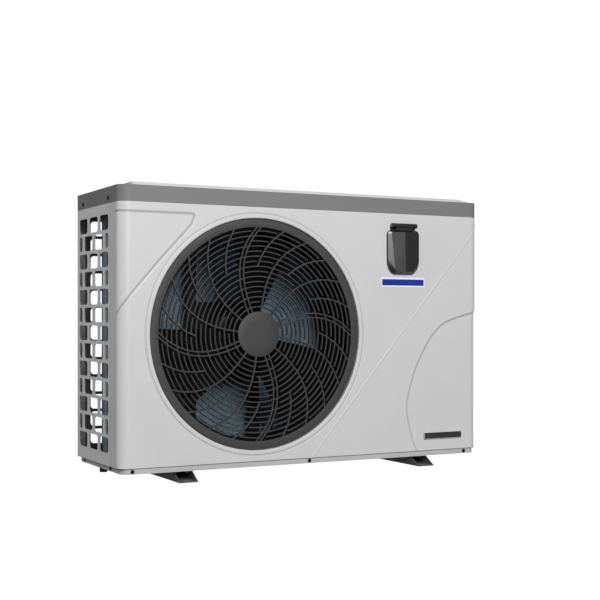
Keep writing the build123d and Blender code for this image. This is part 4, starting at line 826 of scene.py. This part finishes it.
def cover_loop(inset, low, taper, corner, up):
    """Outline of the cover drawn in by inset, narrower by taper at its lower end.

    corner is the size of its upper corners, up the height of its lower ones."""
    w, lo, hi = COVER_HALF - inset, COVER_LO + low, COVER_HI - 0.55 * inset
    narrow = w - taper
    left = [(-RIDGE_HALF, hi), (-17, hi)]
    left += list(bezier((-w + corner, hi), (-w + 0.45 * corner, hi), (-w, hi - 0.4 * corner),
                        (-w, hi - corner), 9))
    for z in (hi - 24, hi - 44, lo + up + 8):
        left.append((-w + taper * (hi - z) / (hi - lo), z))
    left += list(bezier((-w + taper * (hi - lo - up) / (hi - lo), lo + up),
                        (-narrow - taper * up / (hi - lo) * 0.5, lo + 0.45 * up),
                        (-narrow + 0.22 * up, lo + 0.1 * up), (-narrow + 0.55 * up, lo), 15))
    left = np.array(left + [(-9, lo), (-RIDGE_HALF, lo)])
    return np.concatenate([left, left[::-1] * (-1, 1)])


class Loops:
    """Collects equal loops of the cover's shell and the faces between them."""

    def __init__(self):
        self.v, self.f = [], []

    def add(self, shape, depth=None, drop=0.0):
        """One loop at a depth in front of the open side; None lays it on the two facets."""
        if depth is None:
            share = (shape[:, 1] - COVER_LO) / (COVER_HI - COVER_LO)
            depth = 15.0 - 3.5 * share - 0.15 * np.abs(shape[:, 0]) - drop
        base, self.n = len(self.v), len(shape)
        self.v.extend(zip(COVER_X + shape[:, 0], COVER_Y - depth * np.ones(self.n), shape[:, 1]))
        return base

    def bridge(self, a, b):
        for i in range(self.n):
            j = (i + 1) % self.n
            self.f.append((a + i, b + i, b + j, a + j))

    def cap(self, top):
        """Left facet, right facet and the strip along the ridge."""
        half = self.n // 2
        self.f.append(tuple(top + i for i in range(half)))
        self.f.append(tuple(top + i for i in range(half, self.n)))
        self.f.append((top, top + half - 1, top + half, top + self.n - 1))


def add_shell(part):
    """Outer and inner skin of the cover, joined along its open side."""
    open_side = []
    for wall in (0.0, COVER_WALL):
        rim = [cover_loop(wall + i, wall + i, 0, 11, 36) for i in (0.0, 0.4, 1.2)]
        face = [cover_loop(wall + i, 0.6 * (wall + i), 8.0, 4, 10) for i in (8.4, 9.0, 9.8)]
        rows = [part.add(rim[0], 0.0), part.add(rim[0], 2.6), part.add(rim[1], 3.3), part.add(rim[2], 3.7)]
        rows += [part.add(loop, None, wall + soft) for loop, soft in zip(face, (0.45, 0.12, 0.0))]
        for a, b in zip(rows, rows[1:]):
            part.bridge(a, b)
        part.cap(rows[-1])
        open_side.append(rows[0])
    part.bridge(*open_side)


def add_knuckle(part):
    """The hinge's middle knuckle, with its ends softened, and the neck under it."""
    base, n = len(part.v), 36
    reach = KNUCKLE_HALF
    for x, r in ((-reach, KNUCKLE_R - 0.5), (-reach + 0.5, KNUCKLE_R), (reach - 0.5, KNUCKLE_R),
                 (reach, KNUCKLE_R - 0.5)):
        for i in range(n):
            th = 2 * math.pi * i / n
            part.v.append((COVER_X + x, HINGE_Y + r * math.cos(th), HINGE_Z + r * math.sin(th)))
    for a in range(base, base + 3 * n, n):
        for i in range(n):
            j = (i + 1) % n
            part.f.append((a + i, a + j, a + n + j, a + n + i))
    part.f.append(tuple(base + i for i in reversed(range(n))))
    part.f.append(tuple(base + 3 * n + i for i in range(n)))
    base = len(part.v)
    for x in (-reach, reach):
        for y, z in ((-3.0, COVER_HI - 1), (2.0, COVER_HI - 1), (2.0, HINGE_Z), (-3.0, HINGE_Z)):
            part.v.append((COVER_X + x, HINGE_Y + y, z))
    for quad in ((0, 1, 2, 3), (4, 7, 6, 5), (0, 4, 5, 1), (1, 5, 6, 2), (2, 6, 7, 3), (3, 7, 4, 0)):
        part.f.append(tuple(base + i for i in quad))


def build_cover():
    part = Loops()
    add_shell(part)
    add_knuckle(part)
    o = new_object("controller_cover_shell", np.array(part.v) * MM, part.f, FINISH["cover_gloss"],
                   "controller_cover")
    face_outward(o)
    o.data.set_sharp_from_angle(angle=math.radians(50))
    o.modifiers.new("normals", "WEIGHTED_NORMAL").keep_sharp = True
    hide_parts("controller_cover")


build_cover()


# ------------------------------------------------------------------ floor, light and camera
def studio_white():
    m = bpy.data.materials.new("studio_white")
    m.use_nodes = True
    nt = m.node_tree
    nt.nodes.clear()
    em = nt.nodes.new("ShaderNodeEmission")
    em.inputs["Color"].default_value = (1, 1, 1, 1)
    em.inputs["Strength"].default_value = 1.03
    out = nt.nodes.new("ShaderNodeOutputMaterial")
    nt.links.new(em.outputs["Emission"], out.inputs["Surface"])
    return m


def stage_piece(name, verts, faces, mat):
    """Lit white sweep that shows behind the unit but throws no light on it."""
    me = bpy.data.meshes.new(name)
    me.from_pydata(verts, [], faces)
    me.materials.append(mat)
    o = bpy.data.objects.new(name, me)
    scene.collection.objects.link(o)
    o.visible_diffuse = False
    o.visible_glossy = False
    o.visible_transmission = False
    o.visible_volume_scatter = False
    o.visible_shadow = False
    return o


white = studio_white()
stage_piece("floor", [(-12, -12, 0), (12, -12, 0), (12, 12, 0), (-12, 12, 0)], [(0, 1, 2, 3)], white)
ring = [(9.0 * math.cos(k * math.pi / 16), 9.0 * math.sin(k * math.pi / 16)) for k in range(32)]
stage_piece("backdrop", [(x, y, z) for z in (-0.01, 9.0) for x, y in ring],
            [(k, (k + 1) % 32, 32 + (k + 1) % 32, 32 + k) for k in range(32)] + [tuple(range(32, 64))],
            white)

world = bpy.data.worlds.new("studio")
world.use_nodes = True
world.node_tree.nodes["Background"].inputs["Color"].default_value = (1, 1, 1, 1)
world.node_tree.nodes["Background"].inputs["Strength"].default_value = 0.13
scene.world = world


def area(name, loc, target, size, power, size_y=None):
    ld = bpy.data.lights.new(name, "AREA")
    ld.shape = "RECTANGLE"
    ld.size = size
    ld.size_y = size_y or size
    ld.energy = power
    o = bpy.data.objects.new(name, ld)
    scene.collection.objects.link(o)
    o.location = loc
    o.rotation_euler = (Vector(target) - Vector(loc)).to_track_quat("-Z", "Y").to_euler()
    return o


area("key", (-0.4, -4.5, 2.2), (0, 0, 0.33), 1.8, 212)
area("fill", (-3.6, 0.9, 2.6), (-0.47, 0, 0.33), 1.8, 52)
area("edge", (-4.3, -1.9, 0.9), (0.1, 0, 0.45), 0.6, 12, 2.4)

cam_data = bpy.data.cameras.new("camera")
cam_data.lens = 71.11
cam_data.sensor_width = 36.0
cam_data.shift_y = 0.0293
cam_data.dof.use_dof = False
cam = bpy.data.objects.new("camera", cam_data)
scene.collection.objects.link(cam)
cam.location = (-1.3174, -2.5592, 0.36186)
cam.rotation_euler = (math.pi / 2, 0, math.radians(-28.017))
scene.camera = cam
scene.view_settings.view_transform = "Standard"
